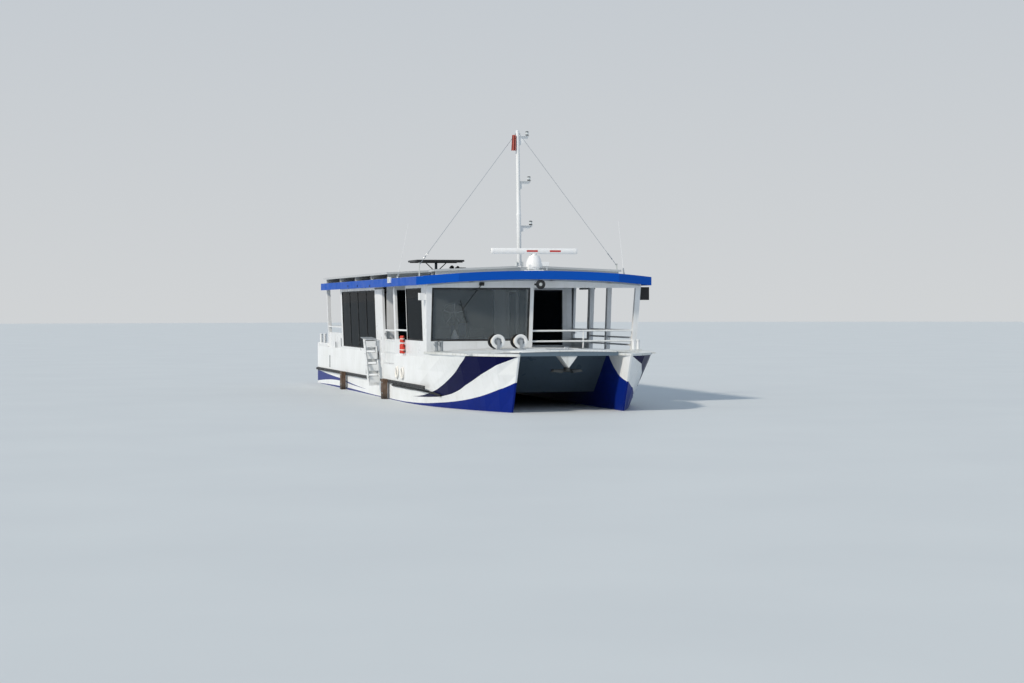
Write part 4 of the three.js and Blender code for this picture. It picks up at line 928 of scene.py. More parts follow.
# %% Radar and aerials
RADAR_X, BEAM_Z = 6.1, 3.6575
RADAR_PLATE = (3.1853, 3.205)  # the bolted plate under the gearbox, its lower and upper face
GEARBOX = [(0.14, 3.20), (0.14, 3.245), (0.17, 3.26), (0.195, 3.28), (0.195, 3.36), (0.175, 3.42),
           (0.155, 3.48), (0.135, 3.52), (0.125, 3.548), (0.08, 3.55)]
BEAM_FACE = [(-0.055, -0.066), (0.05, -0.068), (0.064, -0.046), (0.066, 0.002), (0.060, 0.047),
             (0.040, 0.067), (-0.045, 0.067), (-0.060, 0.052), (-0.062, -0.048)]
BEAM_STATIONS = [(-1.05, 0.86), (-1.04, 0.97), (-1.02, 1.0), (1.02, 1.0), (1.04, 0.97), (1.05, 0.86)]
WHIPS = [  # foot and head, one each side, leaning a little
    ((3.93, -2.84, 3.03), (4.36, -2.66, 4.34)), ((6.10, 2.24, 3.10), (6.10, 2.10, 4.37)),
]


def beam_section(y, scale):
    """The beam's outline at a place along it, which shrinks towards its ends."""
    return [(RADAR_X + x * scale, y, BEAM_Z + z * scale) for x, z in BEAM_FACE]


def radar():
    low, beam, stripes = forms(3)
    plate_z = RADAR_PLATE[1]
    block(low, about(RADAR_X, 0.17), (-0.20, 0.20), RADAR_PLATE)
    turned(low, (RADAR_X, 0, 0), UP, GEARBOX, 36)
    block(low, (RADAR_X - 0.10, RADAR_X + 0.12), (0.12, 0.34), (3.30, 3.40))
    block(low, (RADAR_X - 0.02, RADAR_X + 0.16), (-0.17, 0.05), (3.23, 3.34))
    tube(low, [(RADAR_X + 0.05, 0.30, plate_z + lift) for lift in (0.10, 0.0)], 0.02, 12)
    for x in (-0.14, 0.14):
        for y in (-0.17, 0.17):
            stud(low, (RADAR_X + x, y, plate_z), UP, (0.014, 0.010), (0.008, 0.012))
    piece("radar_gearbox", low, GELCOAT, slot="radar_shell", edge=8, replaces=["radar_pedestal"])
    turned(beam, (RADAR_X, 0, 0), UP, [(0.07, 3.5503), (0.07, 3.56), (0.062, 3.595)], 28)
    skin(beam, [beam_section(y, scale) for y, scale in BEAM_STATIONS])
    for y in (-0.985, 0.985):
        skin(beam, [beam_section(y + t, 1.02) for t in (-0.006, 0.006)])
    piece("radar_beam", beam, GELCOAT, "radar", "radar_shell", replaces=["radar_scanner"], sharp=50)
    for span in ((-0.195, 0.075), (0.371, 0.642)):
        block(stripes, (RADAR_X + 0.064, RADAR_X + 0.0675), span, about(BEAM_Z, 0.020))
    piece("radar_stripes", stripes, RED_ENAMEL, "radar", "radar_shell")


def whips():
    base, rod = forms(2)
    for foot, head in WHIPS:
        foot, head = Vector(foot), Vector(head)
        up = (head - foot).normalized()
        turned(base, (foot.x, foot.y, roof_z(foot.y) - 0.005), UP,
               [(0.045, 0), (0.045, 0.012), (0.022, 0.02), (0.022, 0.05), (0.012, 0.06)], 20)
        turned(base, foot, up, [(0.014, 0.0), (0.016, 0.02), (0.016, 0.14), (0.009, 0.17)], 16)
        tube(rod, [foot + up * 0.15, head], [0.0065, 0.003], 8)
        turned(rod, head, up, [(0.003, 0), (0.006, 0.002), (0.006, 0.012), (0.002, 0.016)], 8)
    piece("aerial_bases", base, STEEL, slot="steel")
    piece("aerial_whips", rod, GELCOAT, slot="radar_shell")


radar()
whips()

# %% [markdown]
# ## Searchlight
# A chromed searchlight hangs under the front edge of the roof in a fork, so that it can turn and
# dip. The shell is a spun dish, the glass is slightly domed, and a pale reflector sits behind it.

# %% Searchlight
LAMP = Vector((6.485, 0.03, 2.865))
LAMP_SHELL = [(0.02, -0.105), (0.05, -0.10), (0.075, -0.07), (0.090, -0.02), (0.102, 0.04),
              (0.107, 0.075), (0.100, 0.075), (0.096, 0.055), (0.076, 0.025), (0.045, 0.008),
              (0.012, 0.0)]
LAMP_DISH = [(0.096, 0.056), (0.095, 0.060), (0.07, 0.040), (0.04, 0.030), (0.012, 0.028)]
LAMP_RIM = [(0.107, 0.060), (0.112, 0.062), (0.112, 0.086), (0.101, 0.088)]
LAMP_PANE = [(0.100, 0.070), (0.101, 0.076), (0.075, 0.084), (0.04, 0.088), (0.01, 0.089)]
FORK = [(0.122, -0.01), (0.122, 0.05), (0.095, 0.086), (0.05, 0.106)]  # out and up from the lamp


def searchlight():
    shell, dish, rim, pane = forms(4)
    for bm, profile in ((shell, LAMP_SHELL), (dish, LAMP_DISH), (rim, LAMP_RIM), (pane, LAMP_PANE)):
        turned(bm, LAMP, FORE, profile, 40)
    tube(shell, [LAMP + Vector((0, 0, z)) for z in (0.106, 0.258)], 0.020, 20)
    fork = [(-y, z) for y, z in FORK] + FORK[::-1]
    tube(shell, fair([LAMP + Vector((0, y, z)) for y, z in fork]), 0.008, 12)
    for s in SIDES.values():
        turned(rim, LAMP + Vector((0, 0.094 * s, 0)), (0, s, 0),
               [(0.026, 0), (0.026, 0.014), (0.018, 0.020), (0.018, 0.038)], 20)
    for part, bm, finish in (("shell", shell, CHROME), ("dish", dish, GELCOAT),
                             ("rim", rim, BLACK_PLASTIC), ("glass", pane, LAMP_GLASS)):
        piece(f"searchlight_{part}", bm, finish, "searchlight", "lamp_chrome", replaces=["searchlight"])


searchlight()

# %% [markdown]
# ## Rope reels
# Two mooring-rope reels stand before the windscreen. The front flange is a white moulded rim with a
# grey fan of curved spokes, the back one is black, and rope is wound flat between them. The
# wound rope shows as rounded ridges one rope diameter apart, so a turned profile draws it.

# %% Reels
REELS = {"rope_reel_1": -1.16, "rope_reel_2": -0.62}  # each one's body and its y
REEL_Z, REEL_R = 1.545, 0.165
ROPE_D, ROPE_START, ROPE_LONG = 14 * MM, 6.856, 0.288
SPOKES, SPOKE_STEPS = 6, 7
RIM = [(0.10, 7.146), (0.150, 7.148), (0.163, 7.154), (REEL_R, 7.164), (0.161, 7.174),
       (0.138, 7.180), (0.104, 7.177), (0.088, 7.168), (0.085, 7.156)]
BOSS = [(0.018, 7.15), (0.042, 7.158), (0.042, 7.176), (0.026, 7.182), (0.018, 7.184), (0.018, 7.194)]
STAND_X = (6.792, 7.208)
KEEPER_X = 6.80  # a bent rod over the back bearing


def wound_rope():
    profile = [(0.03, ROPE_START)]
    for i in range(int(ROPE_LONG / ROPE_D) * 6 + 1):
        bulge = abs(sin(pi * i / 6))
        profile.append((0.098 + 0.006 * bulge, ROPE_START + ROPE_D * i / 6))
    return [*profile, (0.03, profile[-1][1])]


def spoke(bm, y, turn):
    """A spoke that curves round as it goes out and thins towards the rim."""
    shares = [k / SPOKE_STEPS for k in range(SPOKE_STEPS + 1)]
    path = []
    for share in shares:
        angle, r = turn + 0.9 * share, 0.036 + 0.056 * share
        path.append((7.166 - 0.004 * share, y + r * sin(angle), REEL_Z + r * cos(angle)))
    tube(bm, path, [0.011 - 0.004 * share for share in shares], 8)


def reel(body, y):
    rim, fan, back, rope = forms(4)
    hub = (0, y, REEL_Z)
    tube(back, hoop((6.835, y, REEL_Z), FORE, REEL_R - 0.022, 48), 0.022, 16, closed=True)
    turned(rim, hub, FORE, RIM, 48)
    turned(back, hub, FORE, [(0.15, 6.828), (0.15, 6.842), (0.02, 6.844)], 40)
    turned(back, hub, FORE, [(0.018, 6.806), (0.018, 6.83)], 16)
    turned(fan, hub, FORE, [(0.084, 7.152), (0.084, 7.157), (0.02, 7.159)], 40)
    turned(fan, hub, FORE, BOSS, 24)
    for turn in around(SPOKES):
        spoke(fan, y, turn)
    turned(rope, hub, FORE, wound_rope(), 36)
    for part, bm, finish in (("rim", rim, REEL_PLASTIC), ("fan", fan, GREY_PLASTIC),
                             ("back", back, BLACK_PLASTIC)):
        piece(f"{body}_{part}", bm, finish, body, "reel_plastic", replaces=[body])
    piece(body + "_rope", rope, ROPE, body, replaces=[body])


def reel_stand_trim():
    bm = bmesh.new()
    for y in REELS.values():
        for x in STAND_X:
            for dy in (-0.045, 0.045):
                stud(bm, (x, y + dy, 1.3253), UP, (0.010, 0.007), (0.006, 0.010))
        keeper = [(-0.036, 1.36), (-0.036, 1.57), (0.036, 1.57), (0.036, 1.36)]
        tube(bm, [(KEEPER_X, y + dy, z) for dy, z in keeper], 0.006, 8)
    piece("reel_stand_bolts", bm, STEEL, slot="steel")


for name, y in REELS.items():
    reel(name, y)
reel_stand_trim()

# %% [markdown]
# ## Bollards and deck fittings
# The bollards are steel pipes with welded caps. Those at the starboard corner are bare zinc with a
# curled horn, those to port are painted white. Smooth sleeves go over the plain posts of the deck,
# and the quarter bollards are made whole.

# %% Bollards
CORNER_POSTS = [(6.5, 2.345), (6.5, 2.455)]
QUARTER_POSTS = [(-9.1, 2.33), (-8.9, 2.33)]
QUARTER_PLATE_Z = (DECK_Z, 0.900)
HORN = [(0.03, 0, 1.42), (0.05, -0.045, 1.44), (0.05, -0.075, 1.48), (0.05, -0.06, 1.52),
        (0.05, -0.03, 1.515)]  # x and y from the post, and height


def post_profile(r, cap, height):
    return [(r + 0.012, 0), (r + 0.012, 0.006), (r, 0.014), (r, height - 0.042),
            (r - 0.006, height - 0.034), (cap, height - 0.026), (cap, height - 0.006),
            (cap - 0.008, height)]


def corner_bollards():
    low = PLATE_Z + 0.0205
    for side, s, finish in (("starboard", -1, ZINC), ("port", 1, HOUSE_WHITE)):
        bm = bmesh.new()
        for x, y in CORNER_POSTS:
            turned(bm, (x, y * s, PLATE_Z + 0.020), UP, post_profile(0.0405, 0.052, 0.2365), 28)
        block(bm, (6.415, 6.585), abeam(s, 2.275, 2.525), (low, low + 0.006))
        for x, y in CORNER_POSTS if s < 0 else []:
            tube(bm, fair([(x + dx, y * s + dy, z) for dx, dy, z in HORN]), 0.011, 10)
        piece(f"corner_bollard_{side}", bm, finish, slot="galvanised", edge=1.5)


def quarter_bollards():
    for side, s in SIDES.items():
        bm = bmesh.new()
        block(bm, (-9.18, -8.82), abeam(s, 2.26, 2.40), QUARTER_PLATE_Z)
        for x, y in QUARTER_POSTS:
            turned(bm, (x, y * s, DECK_Z + 0.005), UP, post_profile(0.055, 0.075, 0.25), 32)
        tube(bm, [(x, 2.33 * s, 1.05) for x in (-9.16, -8.84)], 0.014, 12)
        for x in (-9.16, -9.0, -8.84):
            for y in (2.28, 2.38):
                stud(bm, (x, y * s, QUARTER_PLATE_Z[1]), UP, (0.011, 0.008), (0.006, 0.010))
        piece(f"quarter_bollard_{side}", bm, ZINC, slot="galvanised", edge=1.5,
              replaces=[f"stern_bollard_{side}"])


corner_bollards()
quarter_bollards()

# %% [markdown]
# ## Rails and gates
# The front rail is white tube with a foot flange under its stanchion. It takes the place of a
# plainer one and follows the lean of the front. The gates and the aft rails are flat bar and stay
# as they are; the gates gain hinges, a latch and a sill.

# %% Rails and gates
RAIL_Z = (1.52, 1.77)
STANCHION_Y = 1.26
LATCH_Z = 1.65


def on_rail(y, z):
    return on_front(y, z, -0.06)


def front_rail():
    bm = bmesh.new()
    for z in RAIL_Z:
        ends = (-0.0247, side_y(z) - 0.1263)
        tube(bm, [on_rail(y, z) for y in ends], 0.022, 20)
        for y, out in zip(ends, (1, -1)):
            stud(bm, on_rail(y, z), (0, out, 0), (0.036, 0.006), (0.024, 0.008), 20)
    foot = on_rail(STANCHION_Y, PLATE_Z + 0.004)
    tube(bm, [foot, on_rail(STANCHION_Y, RAIL_Z[1])], 0.020, 20)
    turned(bm, foot, UP, [(0.05, -0.003), (0.05, 0.005), (0.03, 0.008), (0.024, 0.02)], 24)
    piece("front_rail_tube", bm, RAIL_WHITE, slot="rail_paint", replaces=["front_rail"])


def gate_trim():
    for side, s in SIDES.items():
        body = f"side_gate_{side}"
        bm = bmesh.new()
        for z in (1.02, 1.60):
            turned(bm, (2.3247, 2.535 * s, z), UP, [(0.028, 0), (0.028, 0.09)], 20)
        block(bm, (0.972, 1.06), abeam(s, 2.5555, 2.567), about(LATCH_Z, 0.03))
        handle = [(1.0, 2.567), (1.0, 2.585), (1.09, 2.590)]
        tube(bm, [(x, s * y, LATCH_Z) for x, y in handle], 0.008, 10)
        piece(f"gate_hinges_{side}", bm, STEEL, body, "steel", edge=1)
    sill = bmesh.new()
    for s in SIDES.values():
        block(sill, (0.96, 2.34), abeam(s, 2.558, 2.597), (DECK_Z, 0.905))
        for x in (1.1, 1.65, 2.2):
            turned(sill, (x, s * 2.58, 0.905), UP, [(0.007, 0), (0.006, 0.003)], 12)
    piece("gate_sills", sill, HOUSE_WHITE, slot="house_paint", edge=3)


front_rail()
gate_trim()

# %% [markdown]
# ## Boarding steps
# A folding ladder of box treads hangs outside the bay on the starboard side, so that people can
# climb aboard from a low landing. Each tread is a white pressed box with black grip strips, held
# by two slim leaning stringers, with a grey guard outside. A tilted grey sheet covers the top. It
# replaces the plain steps and swings with them.

# %% Steps
STEP_Y = (-2.985, -2.672)
TREAD = 0.27
TREADS = [(0.15 + 0.57 - 0.19 * i, 0.56 + 0.30 * i) for i in range(4)]  # back edge, top
TREAD_PLATES = [(0, TREAD, 0.012, 0), (0, 0.012, 0.10, 0.012), (0.258, TREAD, 0.17, 0.012),
                (0.10, 0.112, 0.25, 0.024)]  # from and to along the tread, from and to under its top
STRINGER = [(0.72, 0.44), (0.88, 0.44), (0.31, 1.508), (0.15, 1.508)]
GUARD = [(0.50, 1.46), (0.56, 1.47), (1.06, 0.56), (1.00, 0.50)]
SHEET = [(0.06, 1.512), (0.44, 1.512), (0.43, 1.522), (-0.24, 1.555), (-0.25, 1.545)]
HINGE_Y = -2.65
DAMPER = [(0.012, 0), (0.016, 0.01), (0.016, 0.22), (0.008, 0.23), (0.008, 0.37)]


def tread(white, grip, steel, back, top):
    y0, y1 = STEP_Y
    for x0, x1, low, high in TREAD_PLATES:
        block(white, (back + x0, back + x1), (y0 + 0.026, y1 - 0.026), (top - low, top - high))
    for x in (back + 0.03, back + 0.12, back + 0.21):
        block(grip, (x, x + 0.035), (y0 + 0.04, y1 - 0.04), (top, top + 0.003))
    block(grip, (back + 0.012, back + 0.262), (y0 + 0.03, y1 - 0.03), (top - 0.024, top - 0.013))
    for x in (back + 0.05, back + 0.20):
        stud(steel, (x, y0, top - 0.03), (0, -1, 0), (0.010, 0.006), (0.005, 0.009))


def boarding_steps():
    white, grip, grey, steel = forms(4)
    y0, y1 = STEP_Y
    for back, top in TREADS:
        tread(white, grip, steel, back, top)
    for y in (y0, y1 - 0.025):
        skin(white, [[(x, y + t, z) for x, z in STRINGER] for t in (0, 0.025)])
    block(white, (0.09, 0.42), (y0 + 0.026, y1 - 0.026), (1.48, 1.508))
    tube(white, [(x, HINGE_Y, 1.505) for x in (0.13, 0.39)], 0.016, 20)
    block(white, (0.155, 0.365), (y1 - 0.01, HINGE_Y), (1.482, 1.506))
    skin(grey, [[(x, y0 - t, z) for x, z in GUARD] for t in (0.002, 0.012)])
    skin(grey, [[(x, y, z) for x, z in SHEET] for y in (y0 + 0.004, y1 - 0.004)])
    low, high = Vector((0.62, -2.655, 0.98)), Vector((0.46, -2.655, 1.33))
    turned(grip, low, high - low, DAMPER, 16)
    options = {"body": "boarding_steps", "replaces": ["boarding_steps"]}
    piece("steps_boxes", white, RAIL_WHITE, slot="rail_paint", edge=3, **options)
    piece("steps_grips", grip, RUBBER, slot="black_rubber", edge=1, **options)
    piece("steps_guard", grey, GREY_PLASTIC, slot="rail_paint", edge=3, **options)
    piece("steps_bolts", steel, STEEL, slot="steel", **options)


boarding_steps()

# %% [markdown]
# ## Along the sides
# Small things break up the white sides: louvred vents, a pair of hoops by the bay, red fire
# extinguishers on the half-wall, a lifebuoy behind the aft panel, a second rubber strip under the
# strake that dips at its forward end, and coach bolts through the timbers.

# %% Side fittings
VENTS = [  # x, low, high, shift out of the wall
    (-7.2, 0.55, 0.91, 0), (-6.25, 0.98, 1.33, 0.006), (-5.51, 1.20, 1.45, -0.03), (-1.38, 0.54, 0.80, 0),
]
VENT_W = 0.075
BULWARK_Z = 1.14  # the hull's face ends here and the house's begins
HULL_SIDE_Z = 0.9  # a vent on the hull's side is upright below this, and leans above it
HOOP_Z, HOOP_R = 0.71, 0.13
CANISTERS = [(1.20, 1.44, 0.048), (1.47, 1.64, 0.040)]  # low, high, radius
BAND = [(0.001, 0), (0.002, 0.002), (0.002, 0.018), (0.001, 0.02)]
BUOY, BUOY_R = (-5.55, -2.425, 1.42), 0.275
STRIP = [(2.2, 0.375), (3.2, 0.375), (4.4, 0.372), (5.4, 0.360), (5.95, 0.335), (6.40, 0.285)]  # x, z
COACH_BOLT = [(0.020, 0), (0.020, 0.004), (0.011, 0.006), (0.011, 0.013), (0.007, 0.015)]


def vents():
    frames, slats = forms(2)
    for s in SIDES.values():
        for x, low, high, shift in VENTS:
            middle = (low + high) / 2
            wall = (hull_y(x, middle, s) if middle < BULWARK_Z else side_y(middle)) + shift
            lean = FLARE if low > HULL_SIDE_Z else 0

            def place(a, z, out):
                return a, s * (wall + (z - middle) * lean + out), z

            seal(frames, place, (x - VENT_W / 2, x + VENT_W / 2), (low, high), (-0.004, 0.012), 0.012)
            inner = (x - VENT_W / 2 + 0.01, x + VENT_W / 2 - 0.01)
            count = int((high - low) / 0.04)
            for i in range(count):
                z = low + 0.02 + (high - low - 0.03) * i / count
                slab(slats, place, inner, (z, z + 0.022), (-0.002, 0.006))
    piece("vent_frames", frames, GREY_PLASTIC, edge=1)
    piece("vent_slats", slats, BLACK_PLASTIC, edge=1)


def side_hoops():
    bm = bmesh.new()
    for s in SIDES.values():
        for x in (2.77, 3.43):
            y = (hull_y(x, HOOP_Z, s) + 0.026) * s
            tube(bm, hoop((x, y, HOOP_Z), PORT, HOOP_R, 40), 0.022, 14, closed=True)
            for z in about(HOOP_Z, HOOP_R):
                stud(bm, (x, y - 0.028 * s, z), (0, s, 0), (0.03, 0.008), (0.02, 0.02), 16)
    piece("side_hoops", bm, VINYL_WHITE)


def extinguishers():
    red, black, band = forms(3)
    for x in (3.42, 3.60):
        for low, high, r in CANISTERS:
            y = -(side_y(low) + r + 0.014)
            tall = high - low
            turned(red, (x, y, low), UP, [(r * 0.6, 0), (r * 0.95, 0.012), (r, 0.03), (r, tall - 0.04),
                                          (r * 0.8, tall - 0.012), (0.02, tall)], 28)
            turned(band, (x, y, low + 0.08), UP, [(r + out, h) for out, h in BAND], 28)
            for z in (low + 0.05, high - 0.06):
                wide = (x - r - 0.008, x + r + 0.008)
                block(black, wide, (y - 0.012, -side_y(z) + 0.002), (z, z + 0.018))
    piece("red_canisters", red, VINYL_RED)
    piece("canister_bands", band, VINYL_WHITE)
    piece("canister_brackets", black, BLACK_PLASTIC, edge=1)


def lifebuoy():
    ring, bands = forms(2)
    tube(ring, hoop(BUOY, PORT, BUOY_R, 64), 0.052, 20, closed=True)
    for i in range(4):
        arc = hoop(BUOY, PORT, BUOY_R, 12, tau * (i / 4 + 0.07), tau * 0.11)
        tube(bands, arc, 0.0545, 20)
    block(ring, (-5.60, -5.50), (-2.505, -2.46), (1.36, 1.48))
    piece("lifebuoy", ring, VINYL_WHITE)
    piece("lifebuoy_bands", bands, VINYL_RED)


def lower_strip():
    bm = bmesh.new()
    for s in SIDES.values():
        tube(bm, fair([(x, s * (hull_y(x, z, s) + 0.018), z) for x, z in STRIP]), 0.026, 12)
    piece("lower_rubbing_strip", bm, RUBBER, slot="black_rubber")


def timber_bolts():
    bm = bmesh.new()
    for s in SIDES.values():
        for x in (-4.42, -4.28, 1.58, 1.72):
            for z in (-0.1, 0.15, 0.42):
                turned(bm, (x, s * 2.7806, z), (0, s, 0), COACH_BOLT, 12)
    piece("timber_bolts", bm, ZINC, slot="galvanised")


vents()
side_hoops()
extinguishers()
lifebuoy()
lower_strip()
timber_bolts()

# %% [markdown]
# ## Crowned foredeck
# The foredeck rises a hand's breadth towards its middle, so that spray runs off to the sides. The
# frame has a flat plate there, so a thin crowned skin is laid over it, with a rounded lip at its
# forward edge and hatches let into it. Under the lip the plate's edge is covered in the tunnel's dark
# paint, which stands for the shade under the lip. A grid of points on a parabola makes it.

# %% Foredeck crown
CROWN, CROWN_HALF, CROWN_STEPS = 0.075, 2.2, 16
LIP = [(6.02, 0.0), (8.42, 0.0), (8.93, 0.0), (8.955, 0.004), (8.966, 0.012), (8.968, 0.024),
       (8.964, 0.036)]  # how far forward, how far down
NOSE_HALF, SHOULDER_X = 1.2, 8.5  # the plate reaches past here only in its middle
HATCH = 0.25  # half-width
LID = 0.235
STAPLE = [(-0.05, 1.36), (-0.05, 1.44), (0.05, 1.44), (0.05, 1.36)]  # a bent bar on deck: y, z


def crown_z(y):
    return PLATE_Z + 0.002 + CROWN * max(0, 1 - (y / CROWN_HALF) ** 2)


def deck_crown():
    bm, edge = forms(2)
    ys = [CROWN_HALF * i / CROWN_STEPS for i in range(-CROWN_STEPS, CROWN_STEPS + 1)]
    rows = [[bm.verts.new((x if abs(y) < NOSE_HALF else min(x, SHOULDER_X), y, crown_z(y) - down))
             for y in ys] for x, down in LIP]
    for a, b in zip(rows, rows[1:]):
        for i in range(len(ys) - 1):
            if a[i].co != b[i].co or a[i + 1].co != b[i + 1].co:
                bm.faces.new((a[i], b[i], b[i + 1], a[i + 1]))
    bmesh.ops.remove_doubles(bm, verts=bm.verts, dist=1e-5)
    piece("foredeck_crown", bm, DECK_WHITE, slot="deck_paint", sharp=50)
    # A dark skin over the plate's front edge: painted shade under the lip, in the tunnel's grey.
    block(edge, (8.9505, 8.956), (-1.15, 1.15), (1.245, PLATE_Z + 0.035))
    piece("foredeck_lip_shade", edge, TUNNEL_GREY, slot="tunnel_paint")


def hatches():
    rim, lid = forms(2)
    for x, y in ((7.65, -0.95), (7.65, 0.95), (8.2, 0.0)):
        corners = [(x + a * HATCH, y + b * HATCH) for a, b in ((-1, -1), (1, -1), (1, 1), (-1, 1))]
        tube(rim, [(cx, cy, crown_z(cy) + 0.004) for cx, cy in corners], 0.009, 8, closed=True)
        slope = (crown_z(y + LID) - crown_z(y - LID)) / (2 * LID)
        slab(lid, lambda a, b, c: (a, b, c + slope * (b - y)), about(x, LID), about(y, LID),
             (crown_z(y) - 0.01, crown_z(y) + 0.008))
        stud(rim, (x + 0.17, y, crown_z(y) + 0.007), UP, (0.032, 0.004), (0.02, 0.006), 20)
    tube(rim, [(8.75, y, z) for y, z in STAPLE], 0.012, 12)
    piece("hatch_rims", rim, STEEL, slot="steel")
    piece("hatch_lids", lid, DECK_WHITE, slot="deck_paint", edge=3)


deck_crown()
hatches()

# %% [markdown]
# ## Wiper and boxes on the front
# One long wiper hangs from a motor box over the windscreen and parks slanting down.
# A small white cabinet sits outside the starboard corner post, and a black louvred horn box outside
# the port one. A pale grey strip covers the joint between the header and the roof's blue edge; its
# grey is painted shade, the white header as it looks in the shadow of the roof's overhang.

# %% Front fittings
MOTOR = (-1.308, 2.872)  # y, z
ARM = [(*MOTOR, 0.062), (-1.528, 2.597, 0.050), (-1.736, 2.293, 0.0)]  # y, z, how far out
BLADE = [(-1.80, 2.50), (-1.745, 2.29), (-1.69, 2.13), (-1.62, 1.96)]  # y, z
STRIP_CORNERS = [(0, 0), (0.022, 0), (0.022, 0.03), (0, 0.03)]


def wiper():
    arm, rubber = forms(2)
    y, z = MOTOR
    slab(arm, on_front, about(y, 0.055), (z - 0.035, z + 0.045), (0.0, 0.055))
    stud(arm, on_front(y, z, 0.05), FORE, (0.022, 0.02), (0.014, 0.026), 20)
    tube(arm, fair([on_front(*point) for point in ARM]), 0.009, 10)
    tube(arm, [on_front(*point, -0.012) for point in BLADE], 0.007, 8)
    for ends in zip(BLADE, BLADE[1:]):
        tube(rubber, [on_front(*point, -0.028) for point in ends], 0.009, 6)
    piece("wiper_arm", arm, BLACK_COAT)
    piece("wiper_blade", rubber, RUBBER)


def front_boxes():
    white, black = forms(2)
    block(white, (5.97, 6.115), (-2.775, -side_y(2.58) + 0.004), (2.50, 2.67))
    block(black, (5.98, 6.12), (side_y(2.65) - 0.004, 2.87), (2.50, 2.81))
    for i in range(7):
        block(black, (6.12, 6.128), (2.68, 2.85), (2.53 + 0.038 * i, 2.548 + 0.038 * i))
    piece("front_cabinet", white, HOUSE_WHITE, slot="house_paint", edge=6)
    piece("louvred_horn_box", black, BLACK_COAT, edge=2)


# The strip's grey is painted shade of the roof's overhang on the white header.
def header_shade_strip():
    bm = bmesh.new()
    low = [(front_x(2.93) + 0.004, 0.13 * i, roof_z(0.13 * i) - 0.235) for i in range(-20, 21)]
    for ends in zip(low, low[1:]):
        skin(bm, [[(x + dx, y, z + dz) for dx, dz in STRIP_CORNERS] for x, y, z in ends])
    bmesh.ops.remove_doubles(bm, verts=bm.verts, dist=1e-5)
    piece("header_shade_strip", bm, HEADER_SHADE_GREY, slot="house_paint")


wiper()
front_boxes()
header_shade_strip()

# %% [markdown]
# ## Along the roof edge
# Round vent caps and a slim black strip lamp sit on the blue side bands, and a white floodlight
# stands over the gate. On the roof the solar wings are made of framed modules, each about 1.2 by
# 0.97 m, held by small clamps. The raised module has a black-coated frame and two struts. The module
# itself is drawn dark as painted shade: it is seen from below, where its underside lies in shadow.

# %% Roof fittings
WINGS = [  # along, across from the centreline, height of its feet, modules along and across
    ((-7.5, 2.15), (0.30, 2.74), 0.155, 10, 2), ((5.12, 5.64), (0.26, 2.33), 0.130, 1, 2),
]
BAR = 0.018  # half the width of a module's edge
RAISED_X, RAISED_Y = (2.75, 3.75), (-2.32, -1.12)
HORN_X = 3.25
DOME = [(0.07, 0), (0.07, 0.05), (0.06, 0.085), (0.03, 0.105), (0.01, 0.108)]


def divided(span, count):
    return [span[0] + (span[1] - span[0]) * i / count for i in range(count + 1)]


def bars(span, places):
    """The width of each bar, kept within the wing."""
    middles = [min(max(place, span[0] + BAR), span[1] - BAR) for place in places]
    return [about(middle, BAR) for middle in middles]


def module_frames():
    bm, clamps = forms(2)
    for along, wing, feet, long, wide in WINGS:
        y0, y1 = wing
        xs = divided(along, long)
        for s in SIDES.values():

            def place(x, y, out):
                """A wing is flat between its two edges, over the roof's curve."""
                share = (y - y0) / (y1 - y0)
                return x, s * y, roof_z(y0) * (1 - share) + roof_z(y1) * share + feet + out

            for x in bars(along, xs):
                slab(bm, place, x, wing, (0.0003, 0.004))
            for y in bars(wing, divided(wing, wide)):
                slab(bm, place, along, y, (0.0003, 0.0045))
            for x in xs[1:-1]:
                for y in (y0 + 0.3, y1 - 0.3):
                    slab(clamps, place, about(x, 0.022), about(y, 0.03), (0.004, 0.009))
    piece("module_frames", bm, ALUMINIUM, slot="solar_module")
    piece("module_clamps", clamps, ALUMINIUM, slot="solar_module", edge=1)


# The module inside this frame is drawn dark as painted shade of its underside.
def raised_module():
    bm = bmesh.new()
    seal(bm, upright, RAISED_X, RAISED_Y, (3.4998, 3.504), 0.03)
    seal(bm, upright, (2.748, 3.752), (-2.322, -1.118), (3.459, 3.501), 0.004)
    for y in (-2.0, -1.44):
        tube(bm, [(3.25, -1.72, 3.20), (3.25, y, 3.46)], 0.012, 10)
    for x in (2.95, 3.55):
        block(bm, about(x, 0.02), RAISED_Y, (3.44, 3.4602))
    piece("raised_module_frame", bm, BLACK_COAT, slot="solar_module", edge=1)


def roof_cluster():
    black, white = forms(2)
    base = roof_z(-1.2)
    block(black, (2.86, 3.12), (-1.52, -1.26), (base - 0.01, base + 0.12))
    block(black, (2.90, 3.10), (-1.10, -0.92), (base - 0.01, base + 0.17))
    block(white, (3.5, 3.72), (-1.62, -1.44), (base - 0.01, base + 0.09))
    for y, r in ((-1.34, 0.055), (-1.19, 0.042)):
        bell = [(0.012, -0.16), (0.014, -0.02), (0.03, 0.06), (r, 0.11), (r - 0.004, 0.11), (0.02, 0.05)]
        turned(black, (HORN_X, y, base + 0.16), FORE, bell, 24)
        tube(black, [(HORN_X - 0.05, y, base + lift) for lift in (0, 0.16)], 0.010, 8)
    turned(white, (3.35, -0.86, base - 0.01), UP, DOME, 28)
    cable = [(3.0, -1.26), (3.1, -1.18), (3.05, -1.10)]
    tube(black, fair([(x, y, base + 0.02) for x, y in cable]), 0.008, 8)
    piece("roof_horns", black, BLACK_PLASTIC, edge=2)
    piece("roof_boxes", white, GELCOAT, edge=3)


